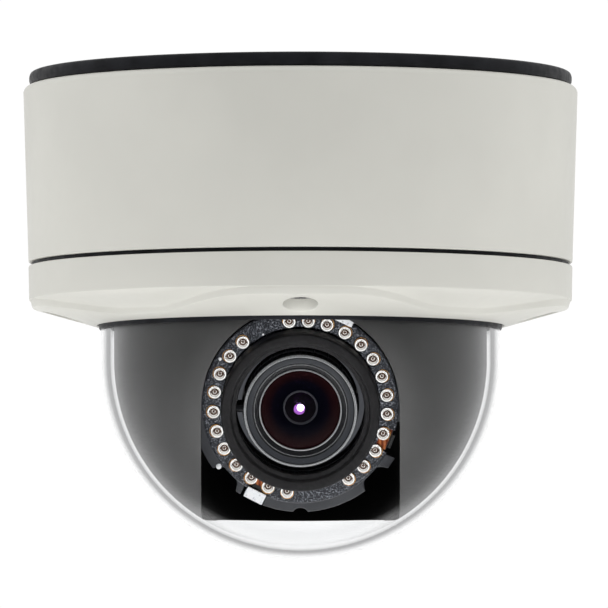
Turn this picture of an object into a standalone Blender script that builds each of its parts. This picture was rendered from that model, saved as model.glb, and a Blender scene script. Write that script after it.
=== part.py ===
"""Dome CCTV camera for a ceiling.

A die-cast housing hangs from the ceiling, a cover ring with a clear bubble is screwed under it, and
inside the bubble a camera module with an infrared lamp ring stands on a pan, tilt and roll mount.
Metres, +Z up.  The origin is the centre of the ceiling face; the front is towards -Y.
"""

import math

import bmesh
import bpy
from mathutils import Matrix

# Clearances
GAP = 0.0003  # between pieces that seat on each other or turn in each other
SLIT = 0.0006  # between the bubble and the cover ring around it
PASS = 0.0010  # how far a cutter runs past the faces that it goes through
EAR_ROOT = 0.0030  # how far a screw ear reaches into its ring
EAR_STEP = 0.0001  # an ear is this much thinner than its ring, on each side

# Facets of a full turn
FACETS_BODY = 48
FACETS_TRIM = 48
FACETS_DOME = 32
FACETS_LENS = 24
FACETS_SMALL = 12
FACETS_SCREW = 8
FACETS_LAMP = 6
DOME_STEPS = 9  # from the bubble's equator to its bottom
LINER_STEPS = 6
ARCH_STEPS = 14

# Bubble and the ring that clamps it
DOME_RADIUS = 0.0539
DOME_WALL = 0.0025
DOME_SKIRT = 0.0089
DOME_FLANGE_WIDTH = 0.0035
DOME_FLANGE_THICKNESS = 0.0025
DOME_SEAL_THICKNESS = 0.0009
CLAMP_THICKNESS = 0.0020
CLAMP_EAR_OFFSET = 0.0041
CLAMP_EAR_RADIUS = 0.0030

# Cover ring
COVER_SEAM = 0.0011
SEAL_WIDTH = 0.0010
SEAL_LIP = 0.0012
GROOVE_INSET = 0.0007
GROOVE_DEPTH = 0.0015
TRIM_WALL = 0.0040
TRIM_WALL_HEIGHT = 0.0092
TRIM_WALL_TAPER = 0.0002
TRIM_CORNER_RUN = 0.0010
TRIM_CORNER_DROP = 0.0021
TRIM_FACE_DROP = 0.0051
TRIM_MOUTH_ROUND = 0.0004
TRIM_FLOOR_RISE = 0.0005
SCOOP_MARGIN = 0.0053
SCOOP_SLOPE = 0.30
RIDGE_RUN = 0.0008
BOSS_HALF_ANGLE = math.radians(40.0)
BOSS_BLEND_ANGLE = math.radians(30.0)
SCREW_POST_RADIUS = 0.0060
POST_MERGE = 0.0005  # of a post into the cover ring's wall
SCREW_RADIUS = 0.0019
SCREW_HEAD_RADIUS = 0.0039
SCREW_HEAD_HEIGHT = 0.0022
SCREW_DRIVE_RADIUS = 0.0014
SCREW_LENGTH = 0.0225
COUNTERBORE_RADIUS = 0.0046
COUNTERBORE_DEPTH = 0.0030

# Housing
HOUSING_HEIGHT = 0.0477
HOUSING_FLARE = 0.0015  # wider at the top than at the rim
HOUSING_EDGE_ROUND = 0.0017
HOUSING_WALL = 0.0030
HOUSING_RIM_WALL = 0.0040
HOUSING_RIM_HEIGHT = 0.0060
HOUSING_PLATE = 0.0030
FIXING_CIRCLE = 0.0480
FIXING_HOLE_RADIUS = 0.0026
CABLE_HOLE_RADIUS = 0.0080
CABLE_HOLE_Y = 0.0420
GROMMET_FLANGE = 0.0020
GROMMET_HOLE_RADIUS = 0.0045

# Gasket on the ceiling
GASKET_INSET = 0.0016
GASKET_THICKNESS = 0.0035
GASKET_EDGE_ROUND = 0.0009

# Chassis and electronics
CHASSIS_RISE = 0.0066  # above the cover ring
CHASSIS_THICKNESS = 0.0020
CHASSIS_MARGIN = 0.0030
CHASSIS_HOLE_RADIUS = 0.0200
CHASSIS_POST_OFFSET = 0.0050
CHASSIS_POST_RADIUS = 0.0040
CHASSIS_EAR_RADIUS = 0.0048
SMALL_SCREW_RADIUS = 0.0013
SMALL_SCREW_HEAD_RADIUS = 0.0026
SMALL_SCREW_HEAD_HEIGHT = 0.0015
SMALL_SCREW_DRIVE_RADIUS = 0.0009
CHASSIS_SCREW_LENGTH = 0.0060
CLAMP_SCREW_LENGTH = 0.0030
BOARD_SIZE = (0.080, 0.070)
BOARD_THICKNESS = 0.0016
STANDOFF_HEIGHT = 0.0080
STANDOFF_RADIUS = 0.0026
STANDOFF_INSET = 0.0060
JACK_SIZE = (0.0160, 0.0210, 0.0135)
JACK_SOCKET = (0.0118, 0.0140, 0.0070)
JACK_SOCKET_RISE = 0.0030
JACK_X = -0.0220
TERMINAL_SIZE = (0.0200, 0.0090, 0.0100)
TERMINAL_X = 0.0220
TERMINAL_HOLES = 4
TERMINAL_HOLE_RADIUS = 0.0013
HEAT_SINK_SIZE = (0.0260, 0.0260, 0.0100)
HEAT_SINK_BASE = 0.0022
HEAT_SINK_FINS = 7
HEAT_SINK_FIN_THICKNESS = 0.0012
HEAT_SINK_Y = -0.0120

# Pan bearing
PAN_INNER_RADIUS = 0.0360
PAN_BASE_THICKNESS = 0.0032
PAN_BASE_OVERHANG = 0.0028
PAN_HUB_WALL = 0.0025
PAN_LIP_WIDTH = 0.0021
PAN_LIP_THICKNESS = 0.0015
PAN_RING_OVERHANG = 0.0006
PAN_RING_THICKNESS = 0.0052

# Yoke and liner, which turn with the pan ring
YOKE_RING_THICKNESS = 0.0038
YOKE_WEB_THICKNESS = 0.0020
YOKE_CLEARANCE = 0.00035
YOKE_ARM_CLEARANCE = 0.0080  # from the roll ring
YOKE_ARM_THICKNESS = 0.0030
YOKE_ARM_HALF_WIDTH = 0.0070
YOKE_STEP = 0.0005  # an arm stands proud of its web by this much
LINER_CLEARANCE = 0.00105
LINER_WALL = 0.0014
LINER_BOTTOM_DROP = 0.0433
SLOT_ARCH_DROP = 0.0062

# Tilt pivot and cradle
PIVOT_DROP = 0.0081  # below the bubble's centre
REST_TILT = math.radians(12.0)  # lens below the horizon
PIVOT_SCREW_RADIUS = 0.0020
PIVOT_HEAD_RADIUS = 0.0040
PIVOT_HEAD_HEIGHT = 0.0018
PIVOT_DRIVE_RADIUS = 0.0013
PIVOT_ENGAGEMENT = 0.0040  # of the pivot screw in the cradle
TILT_BORE_DEPTH = 0.0055
CRADLE_WALL = 0.0037
CRADLE_BACK = -0.0070
CRADLE_FRONT = 0.0030
CRADLE_EAR_HALF_WIDTH = 0.0055
CRADLE_EAR_STEP = 0.0005
CRADLE_EAR_ROOT = 0.0015

# Lens, stations along its axis from the pivot
LENS_RADIUS = 0.0151
LENS_FRONT_WALL = 0.0018
LENS_BODY_STEP = 0.0007
LENS_BODY_WALL = 0.0020
LENS_BACK = -0.0092
FRONT_BORE_BACK = 0.0160
ZOOM_RING = (0.0060, 0.0134)
FOCUS_RING = (0.0264, 0.0318)
FOCUS_TRAVEL_GAP = 0.0006
KNOB_RADIUS = 0.0012
KNOB_HEIGHT = 0.0033
KNOB_CLEARANCE = 0.0005
FRONT_BARREL_BACK = 0.0240
FRONT_BARREL_WALL = 0.0021
FRONT_FLANGE = 0.0010
FRONT_GLASS_THICKNESS = 0.0050
FRONT_GLASS_BULGE = 0.0006
FRONT_BEVEL = 0.0004
INNER_GLASS_THICKNESS = 0.0060
REAR_GLASS_INSET = 0.0010
ZOOM_GROUP_BACK = 0.0040
MOUNT_FLANGE_THICKNESS = 0.0030
MOUNT_SOCKET_DEPTH = 0.0050
MOUNT_HOLE_RADIUS = 0.0090
MOUNT_SOCKET_WALL = 0.0023
FILTER_UNIT_SIZE = (0.0240, 0.0240, 0.0049)
FILTER_APERTURE_RADIUS = 0.0045
FILTER_SIZE = (0.0094, 0.0094, 0.0006)
SENSOR_BOARD_SIZE = (0.0256, 0.0256, 0.0016)
IMAGE_SENSOR_SIZE = (0.0060, 0.0050, 0.0008)

# Camera module, stations along the same axis
CASE_WALL = 0.0016
CASE_BACK = -0.0215
CASE_FRONT = 0.0200
CASE_COLLAR_WIDTH = 0.0020
CASE_COLLAR_THICKNESS = 0.0020
CASE_WINDOW_WIDTH = 0.0180
CASE_WINDOW = (0.0060, 0.0180)
RETAINER_THICKNESS = 0.0012
REAR_COVER_THICKNESS = 0.0022
ROLL_RING_CLEARANCE = 0.0005
ROLL_RING_MARGIN = 0.0029
ROLL_RING_THICKNESS = 0.0020
NOTCH_OFFSET = 0.0013
NOTCH_RADIUS = 0.0045
SHALLOW_NOTCH_RADIUS = 0.0024
BAFFLE_WALL = 0.0015
BAFFLE_LENGTH = 0.0097
BAFFLE_LIP = 0.0010
BAFFLE_LIP_WIDTH = 0.0015
BAFFLE_EDGE = 0.0004
BAFFLE_OPENING_MARGIN = 0.0012
BAFFLE_KNOB_CLEARANCE = 0.0011
LAMP_RADIUS = 0.0016
LAMP_CLEARANCE = 0.0005
LAMP_STAND_OUT = 0.0014
LAMP_TIP = 0.55  # of the lamp's radius at the flat of its tip
LAMP_ARCS = ((352.4, 12.84, 13), (188.7, 13.0, 11))  # first angle, step, count; clockwise from the top
LAMP_BOARD_MARGIN = 0.0009
LAMP_BOARD_THICKNESS = 0.0012
LAMP_PLATE_HOLE_MARGIN = 0.0024
LAMP_PLATE_MARGIN = 0.0014
LAMP_PLATE_THICKNESS = 0.0019
SENSOR_ANGLE = math.radians(111.5)
SENSOR_SIZE = (0.0032, 0.0012, 0.0015)
SENSOR_NOTCH = (0.0056, 0.0012)
FLEX_SIZE = (0.0040, 0.0026, 0.0004)
CLIP_ANGLES = (math.radians(26.0), math.radians(207.0))
CLIP_LENGTH = 0.0055
CLIP_LEG = 0.0016
CLIP_THICKNESS = 0.0008

# Radii of the cover and the housing, outwards from the bubble
DOME_INNER_RADIUS = DOME_RADIUS - DOME_WALL
DOME_OPENING = DOME_RADIUS + SLIT
DOME_FLANGE_RADIUS = DOME_RADIUS + DOME_FLANGE_WIDTH
DOME_SEAT_RADIUS = DOME_FLANGE_RADIUS + GAP
CLAMP_EAR_CIRCLE = DOME_FLANGE_RADIUS + CLAMP_EAR_OFFSET
SCOOP_INNER_RADIUS = DOME_OPENING + SCOOP_MARGIN
SCREW_CIRCLE = DOME_SEAT_RADIUS + GAP + SCREW_POST_RADIUS
TRIM_INNER_RADIUS = SCREW_CIRCLE + SCREW_POST_RADIUS - POST_MERGE
TRIM_RADIUS = TRIM_INNER_RADIUS + TRIM_WALL
TRIM_WALL_END_RADIUS = TRIM_RADIUS - TRIM_WALL_TAPER
TRIM_FACE_RADIUS = TRIM_WALL_END_RADIUS - TRIM_CORNER_RUN
GROOVE_INNER = TRIM_INNER_RADIUS + GROOVE_INSET
GROOVE_OUTER = GROOVE_INNER + SEAL_WIDTH + 2.0 * GAP
HOUSING_RIM_RADIUS = TRIM_RADIUS
HOUSING_TOP_RADIUS = HOUSING_RIM_RADIUS + HOUSING_FLARE
GASKET_RADIUS = HOUSING_TOP_RADIUS - GASKET_INSET

# Radii of the mechanism, inwards and outwards from the liner
LINER_RADIUS = DOME_INNER_RADIUS - LINER_CLEARANCE
LINER_INNER_RADIUS = LINER_RADIUS - LINER_WALL
PAN_HUB_RADIUS = PAN_INNER_RADIUS + PAN_HUB_WALL
YOKE_RING_INNER = PAN_HUB_RADIUS + PAN_LIP_WIDTH + 2.0 * GAP
YOKE_RING_OUTER = LINER_INNER_RADIUS - YOKE_CLEARANCE
PAN_RING_RADIUS = YOKE_RING_OUTER + PAN_RING_OVERHANG
PAN_BASE_RADIUS = PAN_RING_RADIUS + PAN_BASE_OVERHANG
CHASSIS_RADIUS = PAN_BASE_RADIUS + CHASSIS_MARGIN
CHASSIS_POST_CIRCLE = CHASSIS_RADIUS + CHASSIS_POST_OFFSET

# Radii of the camera module, outwards from the lens
FRONT_BORE = LENS_RADIUS - LENS_FRONT_WALL
LENS_BODY_RADIUS = FRONT_BORE - LENS_BODY_STEP
LENS_BORE = LENS_BODY_RADIUS - LENS_BODY_WALL
FRONT_TUBE_RADIUS = FRONT_BORE - GAP
FRONT_TUBE_BORE = FRONT_TUBE_RADIUS - FRONT_BARREL_WALL
FRONT_GLASS_RADIUS = FRONT_TUBE_BORE - GAP
KNOB_REACH = LENS_RADIUS + KNOB_HEIGHT
CASE_BORE = KNOB_REACH + KNOB_CLEARANCE
CASE_RADIUS = CASE_BORE + CASE_WALL
ROLL_RING_HOLE = LENS_RADIUS + ROLL_RING_CLEARANCE
BAFFLE_OPENING = LENS_RADIUS + BAFFLE_OPENING_MARGIN
BAFFLE_BORE = KNOB_REACH + BAFFLE_KNOB_CLEARANCE
BAFFLE_RADIUS = BAFFLE_BORE + BAFFLE_WALL
LAMP_CIRCLE = BAFFLE_RADIUS + LAMP_CLEARANCE + LAMP_RADIUS
LAMP_OUTER_RADIUS = LAMP_CIRCLE + LAMP_RADIUS
LAMP_BOARD_RADIUS = LAMP_OUTER_RADIUS + LAMP_BOARD_MARGIN
LAMP_PLATE_HOLE = LENS_RADIUS + LAMP_PLATE_HOLE_MARGIN
LAMP_PLATE_RADIUS = LAMP_OUTER_RADIUS + LAMP_PLATE_MARGIN
CLIP_INNER_RADIUS = LAMP_OUTER_RADIUS + LAMP_CLEARANCE
CLIP_LEG_INNER = LAMP_PLATE_RADIUS + GAP
CLIP_OUTER_RADIUS = CLIP_LEG_INNER + CLIP_LEG
ROLL_RING_RADIUS = LAMP_PLATE_RADIUS + ROLL_RING_MARGIN
NOTCH_CIRCLE = ROLL_RING_RADIUS + NOTCH_OFFSET
SLOT_HALF_WIDTH = LAMP_PLATE_RADIUS
YOKE_ARM_INNER_X = ROLL_RING_RADIUS + YOKE_ARM_CLEARANCE
YOKE_ARM_OUTER_X = YOKE_ARM_INNER_X + YOKE_ARM_THICKNESS

# Heights, downwards from the ceiling
Z_HOUSING_TOP = -(GASKET_THICKNESS + GAP)
Z_PLATE_UNDER = Z_HOUSING_TOP - HOUSING_PLATE
Z_HOUSING_RIM = Z_HOUSING_TOP - HOUSING_HEIGHT
Z_TRIM_TOP = Z_HOUSING_RIM - COVER_SEAM
Z_TRIM_WALL_END = Z_TRIM_TOP - TRIM_WALL_HEIGHT
Z_FACE_OUTER = Z_TRIM_WALL_END - TRIM_CORNER_DROP
Z_FACE_INNER = Z_FACE_OUTER - TRIM_FACE_DROP
Z_DOME_CENTRE = Z_FACE_INNER - DOME_SKIRT
Z_TRIM_FLOOR = Z_TRIM_WALL_END + TRIM_FLOOR_RISE
Z_FLANGE_UNDER = Z_TRIM_FLOOR - DOME_FLANGE_THICKNESS
Z_SEAL_TOP = Z_FLANGE_UNDER - GAP
Z_SEAL_UNDER = Z_SEAL_TOP - DOME_SEAL_THICKNESS
Z_DOME_SEAT = Z_SEAL_UNDER - GAP
Z_CLAMP_UNDER = Z_TRIM_FLOOR + GAP
Z_CLAMP_TOP = Z_CLAMP_UNDER + CLAMP_THICKNESS
Z_CHASSIS_TOP = Z_TRIM_TOP + CHASSIS_RISE
Z_CHASSIS_UNDER = Z_CHASSIS_TOP - CHASSIS_THICKNESS
Z_BOARD_UNDER = Z_CHASSIS_TOP + STANDOFF_HEIGHT + 2.0 * GAP
Z_BOARD_TOP = Z_BOARD_UNDER + BOARD_THICKNESS
Z_PAN_TOP = Z_CHASSIS_UNDER - GAP
Z_PAN_RING_TOP = Z_PAN_TOP - PAN_BASE_THICKNESS - GAP
Z_PAN_RING_UNDER = Z_PAN_RING_TOP - PAN_RING_THICKNESS
Z_YOKE_TOP = Z_PAN_RING_UNDER - GAP
Z_YOKE_UNDER = Z_YOKE_TOP - YOKE_RING_THICKNESS
Z_PIVOT = Z_DOME_CENTRE - PIVOT_DROP

# Stations along the lens axis, forwards and backwards from the pivot
S_ROLL_RING = CASE_FRONT + GAP
S_LAMP_BOARD = S_ROLL_RING + ROLL_RING_THICKNESS + GAP
S_LAMP_PLATE = S_LAMP_BOARD + LAMP_BOARD_THICKNESS + GAP
S_LAMP_FACE = S_LAMP_PLATE + LAMP_PLATE_THICKNESS
S_BAFFLE = S_LAMP_FACE + GAP
S_FRONT_FLANGE = FOCUS_RING[1] + FOCUS_TRAVEL_GAP
S_MOUNT = LENS_BACK - GAP - MOUNT_FLANGE_THICKNESS
S_FILTER_UNIT = S_MOUNT - GAP - FILTER_UNIT_SIZE[2]
S_SENSOR_BOARD = S_FILTER_UNIT - GAP - SENSOR_BOARD_SIZE[2]

QUARTERS = [math.radians(90.0 * n) for n in range(4)]
DIAGONALS = [math.radians(45.0 + 90.0 * n) for n in range(4)]


# ---- Helpers ---------------------------------------------------------------------------------

LOOKS = {
    "white_paint": ((0.62, 0.62, 0.58), 0.45, 0.0),
    "black_rubber": ((0.025, 0.027, 0.032), 0.7, 0.0),
    "clear_polycarbonate": ((0.85, 0.87, 0.88), 0.05, 0.0),
    "steel": ((0.55, 0.55, 0.56), 0.3, 1.0),
    "aluminium": ((0.65, 0.66, 0.68), 0.4, 1.0),
    "circuit_board": ((0.02, 0.09, 0.04), 0.5, 0.0),
    "black_plastic": ((0.02, 0.02, 0.022), 0.5, 0.0),
    "grey_plastic": ((0.07, 0.07, 0.075), 0.45, 0.0),
    "green_plastic": ((0.03, 0.22, 0.08), 0.5, 0.0),
    "liner_grey": ((0.045, 0.045, 0.048), 0.4, 0.0),
    "charcoal_texture": ((0.03, 0.03, 0.034), 0.6, 0.0),
    "lamp_clear": ((0.75, 0.72, 0.68), 0.1, 0.0),
    "copper_film": ((0.36, 0.15, 0.04), 0.35, 0.0),
    "coated_glass": ((0.05, 0.015, 0.03), 0.02, 0.0),
}


def clear_scene():
    for old in list(bpy.data.objects):
        bpy.data.objects.remove(old, do_unlink=True)


def look(name):
    """The Principled material of that name, made at its first use."""
    made = bpy.data.materials.get(name)
    if made:
        return made
    colour, roughness, metallic = LOOKS[name]
    made = bpy.data.materials.new(name)
    made.use_nodes = True
    shader = made.node_tree.nodes["Principled BSDF"]
    shader.inputs["Base Color"].default_value = (*colour, 1.0)
    shader.inputs["Roughness"].default_value = roughness
    shader.inputs["Metallic"].default_value = metallic
    return made


def finish_mesh(name, bm):
    """Turns a bmesh into a mesh with its faces out and its round sides smooth."""
    bmesh.ops.remove_doubles(bm, verts=bm.verts, dist=1e-6)
    bmesh.ops.recalc_face_normals(bm, faces=bm.faces)
    mesh = bpy.data.meshes.new(name)
    bm.to_mesh(mesh)
    bm.free()
    mesh.shade_smooth()
    mesh.set_sharp_from_angle(angle=math.radians(35.0))
    return mesh


def place(name, mesh, look_name, parent=None, location=(0.0, 0.0, 0.0), rotation=(0.0, 0.0, 0.0)):
    """One named object for one piece."""
    if not mesh.materials:
        mesh.materials.append(look(look_name))
    piece = bpy.data.objects.new(name, mesh)
    piece.parent = parent
    piece.location = location
    piece.rotation_euler = rotation
    bpy.context.scene.collection.objects.link(piece)
    return piece


def make(name, bm, look_name, parent=None):
    return place(name, finish_mesh(name, bm), look_name, parent)


def combine(piece, bm, operation):
    """Joins the tool to the piece, or cuts it out, with a Boolean modifier."""
    tool_name = f"tool_{len(piece.modifiers) + 1}_{piece.name}"
    tool = bpy.data.objects.new(tool_name, finish_mesh(tool_name, bm))
    tool.parent = piece.parent
    tool.hide_render = True
    tool.display_type = "WIRE"
    bpy.context.scene.collection.objects.link(tool)
    change = piece.modifiers.new(operation.lower(), "BOOLEAN")
    change.operation = operation
    change.solver = "EXACT"
    change.object = tool


def axis_empty(name, parent=None, location=(0.0, 0.0, 0.0), rotation=(0.0, 0.0, 0.0)):
    empty = bpy.data.objects.new(name, None)
    empty.parent = parent
    empty.location = location
    empty.rotation_euler = rotation
    bpy.context.scene.collection.objects.link(empty)
    return empty


def polar(radius, angle):
    """A point on a circle, the angle from +X towards +Y."""
    return (radius * math.cos(angle), radius * math.sin(angle))


def clockwise(angle):
    """A turn about Z that brings +Y to that angle clockwise from the top."""
    return Matrix.Rotation(-angle, 4, "Z")


def arc(centre, radius, start, end, steps):
    """Points of an arc in the radius-height plane, angles in degrees from the outward direction."""
    points = []
    for step in range(steps + 1):
        angle = math.radians(start + (end - start) * step / steps)
        points.append((centre[0] + radius * math.cos(angle), centre[1] + radius * math.sin(angle)))
    return points


def rectangle(inner, outer, low, high):
    return [(inner, low), (outer, low), (outer, high), (inner, high)]


def turned(outline, facets):
    """A solid of revolution about Z; an outline that starts on the axis also ends on it."""
    bm = bmesh.new()
    points = [bm.verts.new((radius, 0.0, height)) for radius, height in outline]
    edges = [bm.edges.new(pair) for pair in zip(points, points[1:])]
    if outline[0][0] > 0.0:
        edges.append(bm.edges.new((points[-1], points[0])))
    bmesh.ops.spin(
        bm,
        geom=points + edges,
        cent=(0.0, 0.0, 0.0),
        axis=(0.0, 0.0, 1.0),
        angle=math.tau,
        steps=facets,
        use_merge=True,
    )
    return bm


def ring(inner, outer, low, high, facets):
    return turned(rectangle(inner, outer, low, high), facets)


def add_box(bm, low, high, turn=None):
    size = [b - a for a, b in zip(low, high)]
    centre = [(a + b) / 2.0 for a, b in zip(low, high)]
    matrix = Matrix.Translation(centre) @ Matrix.Diagonal((*size, 1.0))
    bmesh.ops.create_cube(bm, size=1.0, matrix=turn @ matrix if turn else matrix)
    return bm


def add_cylinder(bm, radius, low, high, at=(0.0, 0.0), facets=FACETS_SMALL, turn=None):
    matrix = Matrix.Translation((*at, (low + high) / 2.0))
    bmesh.ops.create_cone(
        bm,
        cap_ends=True,
        segments=facets,
        radius1=radius,
        radius2=radius,
        depth=high - low,
        matrix=turn @ matrix if turn else matrix,
    )
    return bm


def extruded(outline, low, high):
    """A prism on Z over a flat outline of (x, y) points."""
    bm = bmesh.new()
    face = bm.faces.new([bm.verts.new((x, y, low)) for x, y in outline])
    grown = bmesh.ops.extrude_face_region(bm, geom=[face])["geom"]
    moved = [element for element in grown if isinstance(element, bmesh.types.BMVert)]
    bmesh.ops.translate(bm, verts=moved, vec=(0.0, 0.0, high - low))
    return bm


def screw_mesh(name, radius, length, head_radius, head_height, drive_radius):
    """A pan-head screw with its head below z = 0 and its shank up +Z, with a six-sided drive."""
    drive_depth = 0.6 * head_height
    shoulder = 0.25 * head_height
    bm = turned(
        [
            (0.0, length),
            (radius, length),
            (radius, 0.0),
            (head_radius, 0.0),
            (head_radius, shoulder - head_height),
            (head_radius - shoulder, -head_height),
            (drive_radius, -head_height),
            (drive_radius, drive_depth - head_height),
            (0.0, drive_depth - head_height),
        ],
        FACETS_SCREW,
    )
    return finish_mesh(name, bm)


# ---- Housing and cover -----------------------------------------------------------------------


def build_gasket():
    top_edge = arc((GASKET_RADIUS - GASKET_EDGE_ROUND, -GASKET_EDGE_ROUND), GASKET_EDGE_ROUND, 90, 0, 2)
    bm = turned(
        [(0.0, 0.0), *top_edge, (GASKET_RADIUS, -GASKET_THICKNESS), (0.0, -GASKET_THICKNESS)],
        FACETS_BODY,
    )
    gasket = make("mounting_gasket", bm, "black_rubber")
    holes = bmesh.new()
    flange_hole = CABLE_HOLE_RADIUS + GROMMET_FLANGE
    add_cylinder(holes, flange_hole, -2.0 * GASKET_THICKNESS, GASKET_THICKNESS, (0.0, CABLE_HOLE_Y))
    for angle in DIAGONALS:
        at = polar(FIXING_CIRCLE, angle)
        add_cylinder(
            holes, FIXING_HOLE_RADIUS, -2.0 * GASKET_THICKNESS, GASKET_THICKNESS, at, FACETS_SCREW
        )
    combine(gasket, holes, "DIFFERENCE")


def housing_outline():
    taper = (HOUSING_TOP_RADIUS - HOUSING_RIM_RADIUS) / HOUSING_HEIGHT
    rim_top = Z_HOUSING_RIM + HOUSING_RIM_HEIGHT
    rim_inner = HOUSING_RIM_RADIUS - HOUSING_RIM_WALL
    wall_foot_height = HOUSING_RIM_HEIGHT + HOUSING_RIM_WALL - HOUSING_WALL
    wall_foot = HOUSING_RIM_RADIUS + taper * wall_foot_height - HOUSING_WALL
    round_centre = (HOUSING_TOP_RADIUS - HOUSING_EDGE_ROUND, Z_HOUSING_TOP - HOUSING_EDGE_ROUND)
    return [
        (0.0, Z_HOUSING_TOP),
        *arc(round_centre, HOUSING_EDGE_ROUND, 90, 0, 3),
        (HOUSING_RIM_RADIUS, Z_HOUSING_RIM),
        (rim_inner, Z_HOUSING_RIM),
        (rim_inner, rim_top),
        (wall_foot, Z_HOUSING_RIM + wall_foot_height),
        (HOUSING_TOP_RADIUS - HOUSING_WALL, Z_PLATE_UNDER),
        (0.0, Z_PLATE_UNDER),
    ]


def build_housing():
    housing = make("housing", turned(housing_outline(), FACETS_BODY), "white_paint")
    inside_plate = Z_HOUSING_TOP - HOUSING_PLATE / 2.0
    posts = bmesh.new()
    for angle in QUARTERS:
        add_cylinder(
            posts, SCREW_POST_RADIUS, Z_HOUSING_RIM + GAP, inside_plate, polar(SCREW_CIRCLE, angle)
        )
    for angle in DIAGONALS:
        at = polar(CHASSIS_POST_CIRCLE, angle)
        add_cylinder(posts, CHASSIS_POST_RADIUS, Z_CHASSIS_TOP + GAP, inside_plate, at, FACETS_SCREW)
    combine(housing, posts, "UNION")
    holes = bmesh.new()
    above = Z_HOUSING_TOP + PASS
    below = Z_PLATE_UNDER - PASS
    add_cylinder(holes, CABLE_HOLE_RADIUS, below, above, (0.0, CABLE_HOLE_Y))
    for angle in DIAGONALS:
        add_cylinder(
            holes, FIXING_HOLE_RADIUS, below, above, polar(FIXING_CIRCLE, angle), FACETS_SCREW
        )
        add_cylinder(
            holes,
            SMALL_SCREW_RADIUS + GAP,
            Z_CHASSIS_TOP - PASS,
            Z_CHASSIS_UNDER + CHASSIS_SCREW_LENGTH + PASS,
            polar(CHASSIS_POST_CIRCLE, angle),
            FACETS_SCREW,
        )
    for angle in QUARTERS:
        add_cylinder(
            holes,
            SCREW_RADIUS + GAP,
            Z_HOUSING_RIM - PASS,
            cover_screw_seat() + SCREW_LENGTH + PASS,
            polar(SCREW_CIRCLE, angle),
            FACETS_SCREW,
        )
    combine(housing, holes, "DIFFERENCE")


def build_grommet():
    neck = CABLE_HOLE_RADIUS - GAP
    upper = CABLE_HOLE_RADIUS + GROMMET_FLANGE - 2.0 * GAP
    lower = CABLE_HOLE_RADIUS + GROMMET_FLANGE
    top_under = Z_HOUSING_TOP + GAP
    low_top = Z_PLATE_UNDER - GAP
    bm = turned(
        [
            (GROMMET_HOLE_RADIUS, top_under + GROMMET_FLANGE),
            (upper, top_under + GROMMET_FLANGE),
            (upper, top_under),
            (neck, top_under),
            (neck, low_top),
            (lower, low_top),
            (lower, low_top - GROMMET_FLANGE),
            (GROMMET_HOLE_RADIUS, low_top - GROMMET_FLANGE),
        ],
        FACETS_SMALL,
    )
    place(
        "cable_grommet",
        finish_mesh("cable_grommet", bm),
        "black_rubber",
        location=(0.0, CABLE_HOLE_Y, 0.0),
    )


def build_cover_seal():
    inner = GROOVE_INNER + GAP
    outer = inner + SEAL_WIDTH
    top = Z_HOUSING_RIM - GAP
    lip_under = Z_TRIM_TOP + GAP
    bm = turned(
        [
            (inner, top),
            (outer + SEAL_LIP, top),
            (outer + SEAL_LIP, lip_under),
            (outer, lip_under),
            (outer, Z_TRIM_TOP - GROOVE_DEPTH + GAP),
            (inner, Z_TRIM_TOP - GROOVE_DEPTH + GAP),
        ],
        FACETS_BODY,
    )
    make("cover_seal", bm, "black_rubber")


def smooth_step(value):
    value = min(max(value, 0.0), 1.0)
    return value * value * (3.0 - 2.0 * value)


def ridge_radius(angle):
    """Where the scoop beside a screw boss starts, going outwards at that angle."""
    quarter = math.tau / 4.0
    from_boss = abs((angle + quarter / 2.0) % quarter - quarter / 2.0)
    share = smooth_step((BOSS_HALF_ANGLE - from_boss) / BOSS_BLEND_ANGLE)
    return SCOOP_INNER_RADIUS + (TRIM_FACE_RADIUS - SCOOP_INNER_RADIUS) * share


def face_height(radius):
    """Height of the cover ring's sloping underside on its bosses."""
    slope = TRIM_FACE_DROP / (TRIM_FACE_RADIUS - DOME_OPENING)
    return Z_FACE_OUTER - (TRIM_FACE_RADIUS - radius) * slope


def scoop_height(radius):
    return Z_TRIM_WALL_END - (TRIM_WALL_END_RADIUS - radius) * SCOOP_SLOPE


def trim_section(angle):
    ridge = ridge_radius(angle)
    foot = ridge + RIDGE_RUN
    middle = (foot + TRIM_WALL_END_RADIUS) / 2.0
    mouth = DOME_OPENING + TRIM_MOUTH_ROUND
    groove_floor = Z_TRIM_TOP - GROOVE_DEPTH
    return [
        (TRIM_RADIUS, Z_TRIM_TOP),
        (TRIM_WALL_END_RADIUS, Z_TRIM_WALL_END),
        (middle, scoop_height(middle)),
        (foot, scoop_height(foot)),
        (ridge, face_height(ridge)),
        (mouth, face_height(mouth)),
        (DOME_OPENING, face_height(mouth) + TRIM_MOUTH_ROUND),
        (DOME_OPENING, Z_DOME_SEAT),
        (DOME_SEAT_RADIUS, Z_DOME_SEAT),
        (DOME_SEAT_RADIUS, Z_TRIM_FLOOR),
        (TRIM_INNER_RADIUS, Z_TRIM_FLOOR),
        (TRIM_INNER_RADIUS, Z_TRIM_TOP),
        (GROOVE_INNER, Z_TRIM_TOP),
        (GROOVE_INNER, groove_floor),
        (GROOVE_OUTER, groove_floor),
        (GROOVE_OUTER, Z_TRIM_TOP),
    ]


def swept_ring(section_at, facets):
    """A closed ring about Z whose section changes with the angle."""
    bm = bmesh.new()
    loops = []
    for step in range(facets):
        angle = math.tau * step / facets
        points = [(*polar(radius, angle), height) for radius, height in section_at(angle)]
        loops.append([bm.verts.new(point) for point in points])
    for step, loop in enumerate(loops):
        following = loops[(step + 1) % facets]
        for n in range(len(loop)):
            after = (n + 1) % len(loop)
            bm.faces.new((loop[n], loop[after], following[after], following[n]))
    return bm


def cover_screw_seat():
    return face_height(SCREW_CIRCLE) + COUNTERBORE_DEPTH


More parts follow.
